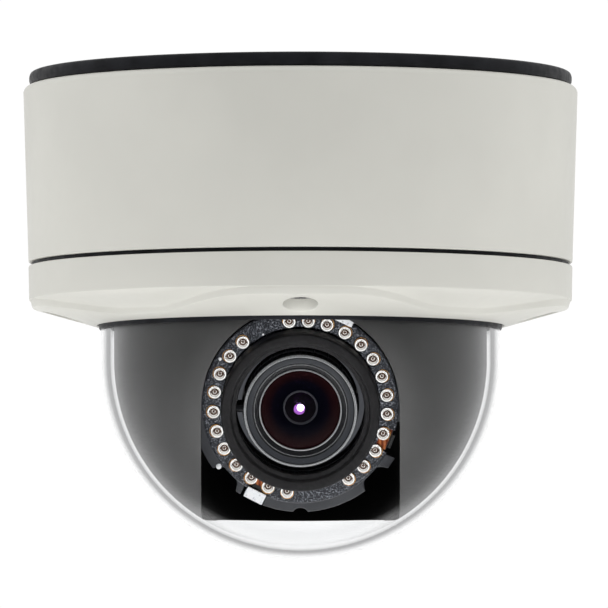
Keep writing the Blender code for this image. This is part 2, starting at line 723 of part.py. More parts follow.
def build_trim_ring():
    trim = make("trim_ring", swept_ring(trim_section, FACETS_TRIM), "white_paint")
    posts = bmesh.new()
    for angle in QUARTERS:
        at = polar(SCREW_CIRCLE, angle)
        add_cylinder(posts, SCREW_POST_RADIUS, Z_TRIM_FLOOR - PASS, Z_HOUSING_RIM - GAP, at)
    combine(trim, posts, "UNION")
    bores = bmesh.new()
    for angle in QUARTERS:
        at = polar(SCREW_CIRCLE, angle)
        add_cylinder(bores, COUNTERBORE_RADIUS, Z_FACE_INNER - PASS, cover_screw_seat(), at)
    combine(trim, bores, "DIFFERENCE")
    holes = bmesh.new()
    for angle in QUARTERS:
        add_cylinder(
            holes,
            SCREW_RADIUS + GAP,
            cover_screw_seat() - PASS,
            Z_HOUSING_RIM + PASS,
            polar(SCREW_CIRCLE, angle),
            FACETS_SCREW,
        )
    for angle in DIAGONALS:
        add_cylinder(
            holes,
            SMALL_SCREW_RADIUS + GAP,
            clamp_screw_end() - GAP,
            Z_TRIM_FLOOR + PASS,
            polar(CLAMP_EAR_CIRCLE, angle),
            FACETS_SCREW,
        )
    combine(trim, holes, "DIFFERENCE")


def build_cover_screws():
    mesh = screw_mesh(
        "cover_screw",
        SCREW_RADIUS,
        SCREW_LENGTH,
        SCREW_HEAD_RADIUS,
        SCREW_HEAD_HEIGHT,
        SCREW_DRIVE_RADIUS,
    )
    for number, angle in enumerate(QUARTERS, start=1):
        at = (*polar(SCREW_CIRCLE, angle), cover_screw_seat() - GAP)
        place(f"cover_screw_{number}", mesh, "steel", location=at, rotation=(0.0, 0.0, angle))


def build_dome():
    centre = (0.0, Z_DOME_CENTRE)
    inner = DOME_INNER_RADIUS
    bm = turned(
        [
            (0.0, Z_DOME_CENTRE - DOME_RADIUS),
            *reversed(arc(centre, DOME_RADIUS, 0, -90, DOME_STEPS)[:-1]),
            (DOME_RADIUS, Z_FLANGE_UNDER),
            (DOME_FLANGE_RADIUS, Z_FLANGE_UNDER),
            (DOME_FLANGE_RADIUS, Z_TRIM_FLOOR),
            (inner, Z_TRIM_FLOOR),
            *arc(centre, inner, 0, -90, DOME_STEPS)[:-1],
            (0.0, Z_DOME_CENTRE - inner),
        ],
        FACETS_DOME,
    )
    make("dome_bubble", bm, "clear_polycarbonate")
    seal = ring(DOME_OPENING + GAP, DOME_FLANGE_RADIUS, Z_SEAL_UNDER, Z_SEAL_TOP, FACETS_DOME)
    make("dome_seal", seal, "black_rubber")


def clamp_screw_end():
    return Z_CLAMP_TOP + GAP - CLAMP_SCREW_LENGTH


def build_clamp():
    top = Z_CLAMP_TOP
    inner = DOME_INNER_RADIUS + SLIT
    clamp = make(
        "dome_clamp_ring",
        ring(inner, DOME_FLANGE_RADIUS, Z_CLAMP_UNDER, top, FACETS_DOME),
        "black_plastic",
    )
    ears = bmesh.new()
    holes = bmesh.new()
    for angle in DIAGONALS:
        turn = Matrix.Rotation(angle, 4, "Z")
        low = (DOME_FLANGE_RADIUS - EAR_ROOT, -CLAMP_EAR_RADIUS, Z_CLAMP_UNDER + EAR_STEP)
        high = (CLAMP_EAR_CIRCLE + CLAMP_EAR_RADIUS, CLAMP_EAR_RADIUS, top - EAR_STEP)
        add_box(ears, low, high, turn)
        at = polar(CLAMP_EAR_CIRCLE, angle)
        add_cylinder(
            holes, SMALL_SCREW_RADIUS + GAP, Z_CLAMP_UNDER - PASS, top + PASS, at, FACETS_SCREW
        )
    combine(clamp, ears, "UNION")
    combine(clamp, holes, "DIFFERENCE")
    mesh = screw_mesh(
        "clamp_screw",
        SMALL_SCREW_RADIUS,
        CLAMP_SCREW_LENGTH,
        SMALL_SCREW_HEAD_RADIUS,
        SMALL_SCREW_HEAD_HEIGHT,
        SMALL_SCREW_DRIVE_RADIUS,
    )
    for number, angle in enumerate(DIAGONALS, start=1):
        place(
            f"clamp_screw_{number}",
            mesh,
            "steel",
            location=(*polar(CLAMP_EAR_CIRCLE, angle), top + GAP),
            rotation=(math.pi, 0.0, 0.0),
        )


# ---- Chassis and electronics -----------------------------------------------------------------


def build_chassis():
    plate = ring(CHASSIS_HOLE_RADIUS, CHASSIS_RADIUS, Z_CHASSIS_UNDER, Z_CHASSIS_TOP, FACETS_LENS)
    chassis = make("chassis_plate", plate, "steel")
    ears = bmesh.new()
    holes = bmesh.new()
    for angle in DIAGONALS:
        turn = Matrix.Rotation(angle, 4, "Z")
        low = (CHASSIS_RADIUS - EAR_ROOT, -CHASSIS_EAR_RADIUS, Z_CHASSIS_UNDER + EAR_STEP)
        high = (CHASSIS_POST_CIRCLE + CHASSIS_EAR_RADIUS, CHASSIS_EAR_RADIUS, Z_CHASSIS_TOP - EAR_STEP)
        add_box(ears, low, high, turn)
        at = polar(CHASSIS_POST_CIRCLE, angle)
        bore = SMALL_SCREW_RADIUS + GAP
        add_cylinder(holes, bore, Z_CHASSIS_UNDER - PASS, Z_CHASSIS_TOP + PASS, at, FACETS_SCREW)
    combine(chassis, ears, "UNION")
    combine(chassis, holes, "DIFFERENCE")
    mesh = screw_mesh(
        "chassis_screw",
        SMALL_SCREW_RADIUS,
        CHASSIS_SCREW_LENGTH,
        SMALL_SCREW_HEAD_RADIUS,
        SMALL_SCREW_HEAD_HEIGHT,
        SMALL_SCREW_DRIVE_RADIUS,
    )
    for number, angle in enumerate(DIAGONALS, start=1):
        at = (*polar(CHASSIS_POST_CIRCLE, angle), Z_CHASSIS_UNDER - GAP)
        place(f"chassis_screw_{number}", mesh, "steel", location=at)


def build_board():
    half_x = BOARD_SIZE[0] / 2.0
    half_y = BOARD_SIZE[1] / 2.0
    board = add_box(bmesh.new(), (-half_x, -half_y, Z_BOARD_UNDER), (half_x, half_y, Z_BOARD_TOP))
    make("main_board", board, "circuit_board")
    pillar = add_cylinder(bmesh.new(), STANDOFF_RADIUS, 0.0, STANDOFF_HEIGHT, facets=6)
    mesh = finish_mesh("board_standoff", pillar)
    corners = [(1, 1), (-1, 1), (-1, -1), (1, -1)]
    for number, (side_x, side_y) in enumerate(corners, start=1):
        at = (
            side_x * (half_x - STANDOFF_INSET),
            side_y * (half_y - STANDOFF_INSET),
            Z_CHASSIS_TOP + GAP,
        )
        place(f"board_standoff_{number}", mesh, "steel", location=at)


def build_board_parts():
    foot = Z_BOARD_TOP + GAP
    edge = BOARD_SIZE[1] / 2.0
    width, depth, height = JACK_SIZE
    low = (JACK_X - width / 2.0, edge - depth, foot)
    jack_box = add_box(bmesh.new(), low, (JACK_X + width / 2.0, edge, foot + height))
    jack = make("network_jack", jack_box, "aluminium")
    socket_width, socket_depth, socket_height = JACK_SOCKET
    socket_low = (JACK_X - socket_width / 2.0, edge - socket_depth, foot + JACK_SOCKET_RISE)
    socket_high = (JACK_X + socket_width / 2.0, edge + PASS, foot + JACK_SOCKET_RISE + socket_height)
    combine(jack, add_box(bmesh.new(), socket_low, socket_high), "DIFFERENCE")

    width, depth, height = TERMINAL_SIZE
    low = (TERMINAL_X - width / 2.0, edge - depth, foot)
    block_box = add_box(bmesh.new(), low, (TERMINAL_X + width / 2.0, edge, foot + height))
    block = make("terminal_block", block_box, "green_plastic")
    holes = bmesh.new()
    to_the_back = Matrix.Rotation(math.radians(-90.0), 4, "X")
    pitch = width / TERMINAL_HOLES
    for number in range(TERMINAL_HOLES):
        x = TERMINAL_X + (number - (TERMINAL_HOLES - 1) / 2.0) * pitch
        turn = Matrix.Translation((x, 0.0, foot + height / 2.0)) @ to_the_back
        add_cylinder(
            holes, TERMINAL_HOLE_RADIUS, edge - depth / 2.0, edge + PASS, facets=8, turn=turn
        )
    combine(block, holes, "DIFFERENCE")

    width, depth, height = HEAT_SINK_SIZE
    half = width / 2.0
    points = [(-half, 0.0), (half, 0.0)]
    pitch = (width - HEAT_SINK_FIN_THICKNESS) / (HEAT_SINK_FINS - 1)
    for number in reversed(range(HEAT_SINK_FINS)):
        right = -half + number * pitch + HEAT_SINK_FIN_THICKNESS
        left = right - HEAT_SINK_FIN_THICKNESS
        points += [(right, height), (left, height)]
        if number:
            next_right = right - pitch
            points += [(left, HEAT_SINK_BASE), (next_right, HEAT_SINK_BASE)]
    bm = extruded(points, -depth / 2.0, depth / 2.0)
    stand_up = Matrix.Rotation(math.radians(90.0), 4, "X")
    bmesh.ops.transform(bm, verts=bm.verts, matrix=stand_up)
    mesh = finish_mesh("heat_sink", bm)
    place("heat_sink", mesh, "aluminium", location=(0.0, HEAT_SINK_Y, foot))


# ---- Pan, liner and yoke ---------------------------------------------------------------------


def build_pan_base():
    base_under = Z_PAN_TOP - PAN_BASE_THICKNESS
    lip_top = Z_PAN_RING_UNDER - GAP
    outline = [
        (PAN_INNER_RADIUS, Z_PAN_TOP),
        (PAN_BASE_RADIUS, Z_PAN_TOP),
        (PAN_BASE_RADIUS, base_under),
        (PAN_HUB_RADIUS, base_under),
        (PAN_HUB_RADIUS, lip_top),
        (PAN_HUB_RADIUS + PAN_LIP_WIDTH, lip_top),
        (PAN_HUB_RADIUS + PAN_LIP_WIDTH, lip_top - PAN_LIP_THICKNESS),
        (PAN_INNER_RADIUS, lip_top - PAN_LIP_THICKNESS),
    ]
    make("pan_base", turned(outline, FACETS_LENS), "grey_plastic")


def build_pan_ring(pan):
    inner = PAN_HUB_RADIUS + 2.0 * GAP
    bm = ring(inner, PAN_RING_RADIUS, Z_PAN_RING_UNDER, Z_PAN_RING_TOP, FACETS_LENS)
    make("pan_ring", bm, "grey_plastic", pan)


def build_yoke(pan):
    bm = ring(YOKE_RING_INNER, YOKE_RING_OUTER, Z_YOKE_UNDER, Z_YOKE_TOP, FACETS_LENS)
    yoke = make("tilt_yoke", bm, "grey_plastic", pan)
    web_top = Z_YOKE_UNDER + YOKE_WEB_THICKNESS
    for side in (-1.0, 1.0):
        web_x = sorted((side * YOKE_ARM_INNER_X, side * (YOKE_RING_OUTER - EAR_ROOT)))
        web = add_box(
            bmesh.new(),
            (web_x[0], YOKE_STEP - YOKE_ARM_HALF_WIDTH, Z_YOKE_UNDER + EAR_STEP),
            (web_x[1], YOKE_ARM_HALF_WIDTH - YOKE_STEP, web_top),
        )
        combine(yoke, web, "UNION")
        arm_x = sorted((side * YOKE_ARM_INNER_X, side * YOKE_ARM_OUTER_X))
        arm = add_box(
            bmesh.new(),
            (arm_x[0], -YOKE_ARM_HALF_WIDTH, Z_PIVOT - YOKE_ARM_HALF_WIDTH),
            (arm_x[1], YOKE_ARM_HALF_WIDTH, web_top - EAR_STEP),
        )
        combine(yoke, arm, "UNION")
    along_x = Matrix.Translation((0.0, 0.0, Z_PIVOT)) @ Matrix.Rotation(math.radians(90.0), 4, "Y")
    for side in (-1.0, 1.0):
        low, high = sorted((side * (YOKE_ARM_INNER_X - PASS), side * (YOKE_ARM_OUTER_X + PASS)))
        bore = add_cylinder(bmesh.new(), PIVOT_SCREW_RADIUS + GAP, low, high, turn=along_x)
        combine(yoke, bore, "DIFFERENCE")
    shank = 2.0 * GAP + YOKE_ARM_THICKNESS + PIVOT_ENGAGEMENT
    mesh = screw_mesh(
        "tilt_screw",
        PIVOT_SCREW_RADIUS,
        shank,
        PIVOT_HEAD_RADIUS,
        PIVOT_HEAD_HEIGHT,
        PIVOT_DRIVE_RADIUS,
    )
    for name, side in (("tilt_screw_left", -1.0), ("tilt_screw_right", 1.0)):
        at = (side * (YOKE_ARM_OUTER_X + GAP), 0.0, Z_PIVOT)
        place(name, mesh, "steel", pan, at, (0.0, -side * math.radians(90.0), 0.0))


def build_liner(pan):
    """A bowl around the module with a round hole below and an arched slot in front."""
    centre = (0.0, Z_DOME_CENTRE)
    inner = LINER_INNER_RADIUS
    outer_end = -math.degrees(math.asin(LINER_BOTTOM_DROP / LINER_RADIUS))
    inner_end = -math.degrees(math.asin(LINER_BOTTOM_DROP / inner))
    bm = turned(
        [
            (LINER_RADIUS, Z_YOKE_TOP),
            *arc(centre, LINER_RADIUS, 0, outer_end, LINER_STEPS),
            *reversed(arc(centre, inner, 0, inner_end, LINER_STEPS)),
            (inner, Z_YOKE_TOP),
        ],
        FACETS_DOME,
    )
    liner = make("dome_liner", bm, "liner_grey", pan)
    arch_height = Z_PIVOT - SLOT_ARCH_DROP
    bottom = Z_DOME_CENTRE - LINER_RADIUS
    arch = arc((0.0, arch_height), SLOT_HALF_WIDTH, 180, 0, ARCH_STEPS)
    outline = [(SLOT_HALF_WIDTH, bottom), (-SLOT_HALF_WIDTH, bottom), *arch]
    slot = extruded(outline, 0.0, 1.2 * LINER_RADIUS)
    stand_up = Matrix.Rotation(math.radians(90.0), 4, "X")
    bmesh.ops.transform(slot, verts=slot.verts, matrix=stand_up)
    combine(liner, slot, "DIFFERENCE")


# ---- Cradle and camera module ----------------------------------------------------------------


def build_cradle(lens):
    inner = CASE_RADIUS + GAP
    outer = inner + CRADLE_WALL
    cradle = make(
        "tilt_cradle", ring(inner, outer, CRADLE_BACK, CRADLE_FRONT, FACETS_LENS), "grey_plastic", lens
    )
    ear_end = YOKE_ARM_INNER_X - GAP
    along_x = Matrix.Rotation(math.radians(90.0), 4, "Y")
    for side in (-1.0, 1.0):
        low_x, high_x = sorted((side * (inner + CRADLE_EAR_ROOT), side * ear_end))
        ear = add_box(
            bmesh.new(),
            (low_x, -CRADLE_EAR_HALF_WIDTH, CRADLE_BACK + CRADLE_EAR_STEP),
            (high_x, CRADLE_EAR_HALF_WIDTH, CRADLE_FRONT - CRADLE_EAR_STEP),
        )
        combine(cradle, ear, "UNION")
    for side in (-1.0, 1.0):
        low_x, high_x = sorted((side * (ear_end - TILT_BORE_DEPTH), side * (ear_end + PASS)))
        bore = add_cylinder(bmesh.new(), PIVOT_SCREW_RADIUS + GAP, low_x, high_x, turn=along_x)
        combine(cradle, bore, "DIFFERENCE")


def build_case(lens):
    collar_front = CRADLE_BACK - GAP
    collar_back = collar_front - CASE_COLLAR_THICKNESS
    collar_radius = CASE_RADIUS + CASE_COLLAR_WIDTH
    outline = [
        (CASE_BORE, CASE_BACK),
        (CASE_RADIUS, CASE_BACK),
        (CASE_RADIUS, collar_back),
        (collar_radius, collar_back),
        (collar_radius, collar_front),
        (CASE_RADIUS, collar_front),
        (CASE_RADIUS, CASE_FRONT),
        (CASE_BORE, CASE_FRONT),
    ]
    case = make("module_case", turned(outline, FACETS_LENS), "black_plastic", lens)
    half = CASE_WINDOW_WIDTH / 2.0
    reach = CASE_RADIUS + PASS
    for angle in QUARTERS:
        window = add_box(
            bmesh.new(),
            (CASE_BORE - KNOB_HEIGHT, -half, CASE_WINDOW[0]),
            (reach, half, CASE_WINDOW[1]),
            Matrix.Rotation(angle, 4, "Z"),
        )
        combine(case, window, "DIFFERENCE")
    retainer_back = CRADLE_FRONT + GAP
    retainer = ring(
        CASE_RADIUS + GAP,
        collar_radius,
        retainer_back,
        retainer_back + RETAINER_THICKNESS,
        FACETS_LENS,
    )
    make("roll_retainer", retainer, "steel", lens)
    cover_back = CASE_BACK - GAP - REAR_COVER_THICKNESS
    cover = add_cylinder(bmesh.new(), CASE_RADIUS, cover_back, CASE_BACK - GAP, facets=FACETS_LENS)
    make("rear_cover", cover, "black_plastic", lens)


def notched_radius(angle):
    """Rim of the roll ring: four finger notches on the diagonals and a shallow one between each."""
    quarter = math.tau / 4.0
    radius = ROLL_RING_RADIUS
    for size, start in ((NOTCH_RADIUS, quarter / 2.0), (SHALLOW_NOTCH_RADIUS, 0.0)):
        away = (angle - start + quarter / 2.0) % quarter - quarter / 2.0
        across = NOTCH_CIRCLE * math.sin(away)
        if abs(across) < size:
            near_side = NOTCH_CIRCLE * math.cos(away) - math.sqrt(size**2 - across**2)
            radius = min(radius, near_side)
    return radius


def build_roll_ring(lens):
    def section(angle):
        return rectangle(
            ROLL_RING_HOLE, notched_radius(angle), S_ROLL_RING, S_ROLL_RING + ROLL_RING_THICKNESS
        )

    make("roll_ring", swept_ring(section, FACETS_TRIM), "grey_plastic", lens)


def lamp_angles():
    return [math.radians(first + step * n) for first, step, count in LAMP_ARCS for n in range(count)]


def lamp_place(angle):
    return (LAMP_CIRCLE * math.sin(angle), LAMP_CIRCLE * math.cos(angle))


def add_lamp(bm, angle):
    """A round lamp with a domed tip, standing on the lamp board."""
    tip = S_LAMP_FACE + LAMP_STAND_OUT
    shoulder = S_LAMP_FACE + LAMP_STAND_OUT / 3.0
    start = S_LAMP_BOARD + LAMP_BOARD_THICKNESS / 2.0
    at = lamp_place(angle)
    stem = bmesh.ops.create_cone(
        bm,
        cap_ends=True,
        segments=FACETS_LAMP,
        radius1=LAMP_RADIUS,
        radius2=LAMP_RADIUS,
        depth=shoulder - start,
        matrix=Matrix.Translation((*at, (shoulder + start) / 2.0)),
    )
    top = [v for v in stem["verts"] if v.co.z > shoulder - 1e-5]
    cap = [face for face in top[0].link_faces if all(v in top for v in face.verts)]
    inset = bmesh.ops.extrude_face_region(bm, geom=cap)["geom"]
    bmesh.ops.delete(bm, geom=cap, context="FACES_ONLY")
    raised = [element for element in inset if isinstance(element, bmesh.types.BMVert)]
    for vert in raised:
        vert.co.x = at[0] + (vert.co.x - at[0]) * LAMP_TIP
        vert.co.y = at[1] + (vert.co.y - at[1]) * LAMP_TIP
        vert.co.z = tip


def build_lamp_ring(lens):
    board_front = S_LAMP_BOARD + LAMP_BOARD_THICKNESS
    bm = ring(BAFFLE_BORE, LAMP_BOARD_RADIUS, S_LAMP_BOARD, board_front, FACETS_LENS)
    board = make("lamp_board", bm, "circuit_board", lens)
    lamps = bmesh.new()
    holes = bmesh.new()
    for angle in lamp_angles():
        add_lamp(lamps, angle)
        add_cylinder(
            holes,
            LAMP_RADIUS + GAP,
            S_LAMP_PLATE - PASS,
            S_LAMP_FACE + PASS,
            lamp_place(angle),
            FACETS_LAMP,
        )
    combine(board, lamps, "UNION")
    bm = ring(LAMP_PLATE_HOLE, LAMP_PLATE_RADIUS, S_LAMP_PLATE, S_LAMP_FACE, FACETS_LENS)
    plate = make("lamp_plate", bm, "charcoal_texture", lens)
    combine(plate, holes, "DIFFERENCE")
    notch_width, notch_depth = SENSOR_NOTCH
    notch = add_box(
        bmesh.new(),
        (-notch_width / 2.0, LAMP_PLATE_RADIUS - notch_depth, S_LAMP_PLATE - PASS),
        (notch_width / 2.0, LAMP_PLATE_RADIUS + PASS, S_LAMP_FACE + PASS),
        clockwise(SENSOR_ANGLE),
    )
    combine(plate, notch, "DIFFERENCE")
    build_lamp_details(lens)


def build_lamp_details(lens):
    """Light sensor, its flexible print and the two clips that hold the lamp ring together."""
    width, depth, height = SENSOR_SIZE
    sensor_inner = LAMP_PLATE_RADIUS - SENSOR_NOTCH[1] + GAP
    turn = clockwise(SENSOR_ANGLE)
    sensor = add_box(
        bmesh.new(),
        (-width / 2.0, sensor_inner, S_LAMP_PLATE),
        (width / 2.0, sensor_inner + depth, S_LAMP_PLATE + height),
        turn,
    )
    make("light_sensor", sensor, "black_plastic", lens)
    width, depth, thickness = FLEX_SIZE
    flex_inner = LAMP_BOARD_RADIUS + GAP
    flex_back = S_LAMP_BOARD + GAP
    flex = add_box(
        bmesh.new(),
        (-width / 2.0, flex_inner, flex_back),
        (width / 2.0, flex_inner + depth, flex_back + thickness),
        turn,
    )
    make("lamp_flex", flex, "copper_film", lens)
    tab_back = S_LAMP_FACE + GAP
    outline = [
        (CLIP_INNER_RADIUS, tab_back),
        (CLIP_LEG_INNER, tab_back),
        (CLIP_LEG_INNER, S_LAMP_BOARD),
        (CLIP_OUTER_RADIUS, S_LAMP_BOARD),
        (CLIP_OUTER_RADIUS, tab_back + CLIP_THICKNESS),
        (CLIP_INNER_RADIUS, tab_back + CLIP_THICKNESS),
    ]
    bm = extruded(outline, -CLIP_LENGTH / 2.0, CLIP_LENGTH / 2.0)
    on_side = Matrix(((0, 0, 1, 0), (1, 0, 0, 0), (0, 1, 0, 0), (0, 0, 0, 1)))
    bmesh.ops.transform(bm, verts=bm.verts, matrix=on_side)
    mesh = finish_mesh("lamp_clip", bm)
    for number, angle in enumerate(CLIP_ANGLES, start=1):
        place(f"lamp_clip_{number}", mesh, "aluminium", lens, rotation=(0.0, 0.0, -angle))


def build_baffle(lens):
    """Rubber hood between the lamps and the lens."""
    front = S_BAFFLE + BAFFLE_LENGTH
    outline = [
        (BAFFLE_BORE, S_BAFFLE),
        (BAFFLE_RADIUS, S_BAFFLE),
        (BAFFLE_RADIUS, front - BAFFLE_EDGE),
        (BAFFLE_RADIUS - BAFFLE_EDGE, front),
        (BAFFLE_OPENING + BAFFLE_LIP_WIDTH, front),
        (BAFFLE_OPENING, front - BAFFLE_LIP),
        (BAFFLE_BORE, front - BAFFLE_LIP),
    ]
    make("lens_baffle", turned(outline, FACETS_LENS), "black_rubber", lens)


# ---- Lens and image sensor -------------------------------------------------------------------


def build_lens_barrel(lens):
    shoulder = ZOOM_RING[1] + GAP
    front = FOCUS_RING[0] - GAP
    outline = [
        (LENS_BORE, LENS_BACK),
        (LENS_BODY_RADIUS, LENS_BACK),
        (LENS_BODY_RADIUS, shoulder),
        (LENS_RADIUS, shoulder),
        (LENS_RADIUS, front),
        (FRONT_BORE, front),
        (FRONT_BORE, FRONT_BORE_BACK),
        (LENS_BORE, FRONT_BORE_BACK),
    ]
    make("lens_barrel", turned(outline, FACETS_LENS), "black_plastic", lens)
    glass_radius = LENS_BORE - GAP
    rear_glass_back = LENS_BACK + REAR_GLASS_INSET
    rear_glass = add_cylinder(
        bmesh.new(), glass_radius, rear_glass_back, rear_glass_back + INNER_GLASS_THICKNESS
    )
    make("rear_element", rear_glass, "coated_glass", lens)


def build_knobbed_ring(name, stations, inner, angle, parent):
    """A lens ring with a radial thumb knob at that angle clockwise from the top."""
    bm = ring(inner, LENS_RADIUS, stations[0], stations[1], FACETS_LENS)
    piece = make(name, bm, "black_plastic", parent)
    middle = (stations[0] + stations[1]) / 2.0
    root = (inner + LENS_RADIUS) / 2.0
    outwards = Matrix.Rotation(math.radians(-90.0), 4, "X")
    turn = clockwise(angle) @ Matrix.Translation((0.0, 0.0, middle)) @ outwards
    combine(piece, add_cylinder(bmesh.new(), KNOB_RADIUS, root, KNOB_REACH, facets=8, turn=turn), "UNION")


def build_front_group(parent):
    front = S_FRONT_FLANGE + FRONT_FLANGE
    outline = [
        (FRONT_TUBE_BORE, FRONT_BARREL_BACK),
        (FRONT_TUBE_RADIUS, FRONT_BARREL_BACK),
        (FRONT_TUBE_RADIUS, S_FRONT_FLANGE),
        (LENS_RADIUS, S_FRONT_FLANGE),
        (LENS_RADIUS, front),
        (FRONT_TUBE_RADIUS, front),
        (FRONT_TUBE_BORE + FRONT_BEVEL, front - FRONT_FLANGE),
        (FRONT_TUBE_BORE, front - 2.0 * FRONT_FLANGE),
    ]
    make("front_barrel", turned(outline, FACETS_LENS), "black_plastic", parent)
    rim = front - FRONT_FLANGE - FRONT_GLASS_BULGE
    outline = [
        (0.0, rim - FRONT_GLASS_THICKNESS),
        (FRONT_GLASS_RADIUS, rim - FRONT_GLASS_THICKNESS),
        (FRONT_GLASS_RADIUS, rim),
        (0.6 * FRONT_GLASS_RADIUS, rim + 0.7 * FRONT_GLASS_BULGE),
        (0.0, rim + FRONT_GLASS_BULGE),
    ]
    make("front_element", turned(outline, FACETS_LENS), "coated_glass", parent)


def build_zoom_group(parent):
    front = ZOOM_GROUP_BACK + INNER_GLASS_THICKNESS
    glass = add_cylinder(bmesh.new(), LENS_BORE - GAP, ZOOM_GROUP_BACK, front)
    make("zoom_group", glass, "coated_glass", parent)


def build_lens_mount(lens):
    flange_front = S_MOUNT + MOUNT_FLANGE_THICKNESS
    socket_bore = LENS_BODY_RADIUS + GAP
    socket_outer = socket_bore + MOUNT_SOCKET_WALL
    outline = [
        (MOUNT_HOLE_RADIUS, S_MOUNT),
        (CASE_BORE - GAP, S_MOUNT),
        (CASE_BORE - GAP, flange_front),
        (socket_outer, flange_front),
        (socket_outer, flange_front + MOUNT_SOCKET_DEPTH),
        (socket_bore, flange_front + MOUNT_SOCKET_DEPTH),
        (socket_bore, flange_front),
        (MOUNT_HOLE_RADIUS, flange_front),
    ]
    make("lens_mount", turned(outline, FACETS_LENS), "black_plastic", lens)


def centred_box(size, back):
    low = (-size[0] / 2.0, -size[1] / 2.0, back)
    return add_box(bmesh.new(), low, (size[0] / 2.0, size[1] / 2.0, back + size[2]))


def build_filter_unit(lens, filter_axis):
    unit = make("filter_unit", centred_box(FILTER_UNIT_SIZE, S_FILTER_UNIT), "black_plastic", lens)
    width, depth, thickness = FILTER_SIZE
    track_back = S_FILTER_UNIT + (FILTER_UNIT_SIZE[2] - thickness) / 2.0 - GAP
    track = add_box(
        bmesh.new(),
        (-width / 2.0 - GAP, -depth / 2.0 - GAP, track_back),
        (FILTER_UNIT_SIZE[0], depth / 2.0 + GAP, track_back + thickness + 2.0 * GAP),
    )
    combine(unit, track, "DIFFERENCE")
    aperture = add_cylinder(
        bmesh.new(), FILTER_APERTURE_RADIUS, S_FILTER_UNIT - PASS, S_MOUNT + PASS
    )
    combine(unit, aperture, "DIFFERENCE")
    make("infrared_filter", centred_box(FILTER_SIZE, track_back + GAP), "coated_glass", filter_axis)
    make("sensor_board", centred_box(SENSOR_BOARD_SIZE, S_SENSOR_BOARD), "circuit_board", lens)
    chip = centred_box(IMAGE_SENSOR_SIZE, S_SENSOR_BOARD + SENSOR_BOARD_SIZE[2] + GAP)
    make("image_sensor", chip, "black_plastic", lens)


def main():
    clear_scene()
    build_gasket()
    build_housing()
    build_grommet()
    build_cover_seal()
    build_trim_ring()
    build_cover_screws()
    build_dome()
    build_clamp()
    build_chassis()
    build_board()
    build_board_parts()
    build_pan_base()
    pan = axis_empty("pan_axis")
    build_pan_ring(pan)
    build_yoke(pan)
    build_liner(pan)
    lens_turn = (math.radians(90.0) + REST_TILT, 0.0, 0.0)
    tilt = axis_empty("tilt_axis", pan, (0.0, 0.0, Z_PIVOT), lens_turn)
    build_cradle(tilt)
    roll = axis_empty("roll_axis", tilt)
    build_case(roll)
    build_roll_ring(roll)
    build_lamp_ring(roll)
    build_baffle(roll)
    build_lens_barrel(roll)
    build_lens_mount(roll)
    build_filter_unit(roll, axis_empty("filter_axis", roll))
    lens_ring_bore = LENS_BODY_RADIUS + GAP
    build_knobbed_ring(
        "zoom_ring", ZOOM_RING, lens_ring_bore, math.radians(90.0), axis_empty("zoom_axis", roll)
    )
    build_zoom_group(axis_empty("zoom_group_axis", roll))
    build_knobbed_ring(
        "focus_ring", FOCUS_RING, FRONT_BORE, math.radians(270.0), axis_empty("focus_axis", roll)
    )
    build_front_group(axis_empty("focus_group_axis", roll))


main()
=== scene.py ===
"""Dome CCTV camera: the finished look of every piece, built around the packed frame.

Lengths in the frame are metres.  Outlines of turned pieces are written in millimetres.
Pieces of the camera module are drawn about the lens axis and then tilted into place.
"""

import math

import bmesh
import bpy
from bpy.props import FloatProperty, FloatVectorProperty, IntProperty, PointerProperty
from mathutils import Matrix, Vector


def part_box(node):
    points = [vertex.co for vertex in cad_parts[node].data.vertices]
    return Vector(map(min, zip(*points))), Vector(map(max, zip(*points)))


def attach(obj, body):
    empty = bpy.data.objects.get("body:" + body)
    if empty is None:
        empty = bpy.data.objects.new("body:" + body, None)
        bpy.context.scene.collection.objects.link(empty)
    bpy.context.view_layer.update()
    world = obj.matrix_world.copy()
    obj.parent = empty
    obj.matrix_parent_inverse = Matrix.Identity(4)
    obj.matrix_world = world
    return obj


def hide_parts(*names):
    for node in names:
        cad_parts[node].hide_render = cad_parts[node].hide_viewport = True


bl_info = {
    "name": "Dome CCTV Camera",
    "version": (1, 0, 0),
    "blender": (4, 5, 0),
    "location": "View3D > Sidebar > Dome Camera",
    "description": "Builds the finished pieces of a ceiling dome camera and its studio",
    "category": "Add Mesh",
}

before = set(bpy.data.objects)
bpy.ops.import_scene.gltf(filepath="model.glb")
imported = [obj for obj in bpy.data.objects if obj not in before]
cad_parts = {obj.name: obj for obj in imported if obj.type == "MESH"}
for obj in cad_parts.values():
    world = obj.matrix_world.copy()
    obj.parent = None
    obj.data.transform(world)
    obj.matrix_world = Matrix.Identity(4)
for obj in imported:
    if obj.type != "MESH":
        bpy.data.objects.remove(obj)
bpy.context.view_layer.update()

MM = 0.001
REST_TILT = math.radians(12.0)  # lens below the horizon at rest
HOUSING_LOW, HOUSING_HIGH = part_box("housing")
TRIM_LOW, TRIM_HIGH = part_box("trim_ring")
GASKET_LOW, GASKET_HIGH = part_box("mounting_gasket")
BUBBLE_LOW, BUBBLE_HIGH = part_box("dome_bubble")
LINER_LOW, LINER_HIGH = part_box("dome_liner")
SCREW_LOW, SCREW_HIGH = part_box("cover_screw_1")
TILT_SCREW_LOW, TILT_SCREW_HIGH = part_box("tilt_screw_left")
PIVOT_HEIGHT = (TILT_SCREW_LOW.z + TILT_SCREW_HIGH.z) / 2.0
LENS_FRAME = Matrix.Translation((0.0, 0.0, PIVOT_HEIGHT)) @ Matrix.Rotation(
    math.radians(90.0) + REST_TILT, 4, "X"
)
LENS_FRAME_BACK = LENS_FRAME.inverted()
QUARTERS = [math.radians(90.0 * n) for n in range(4)]
DIAGONALS = [math.radians(45.0 + 90.0 * n) for n in range(4)]
BUBBLE_RADIUS = 0.0539
SCREW_CIRCLE = 0.064  # cover screws, a quarter turn apart
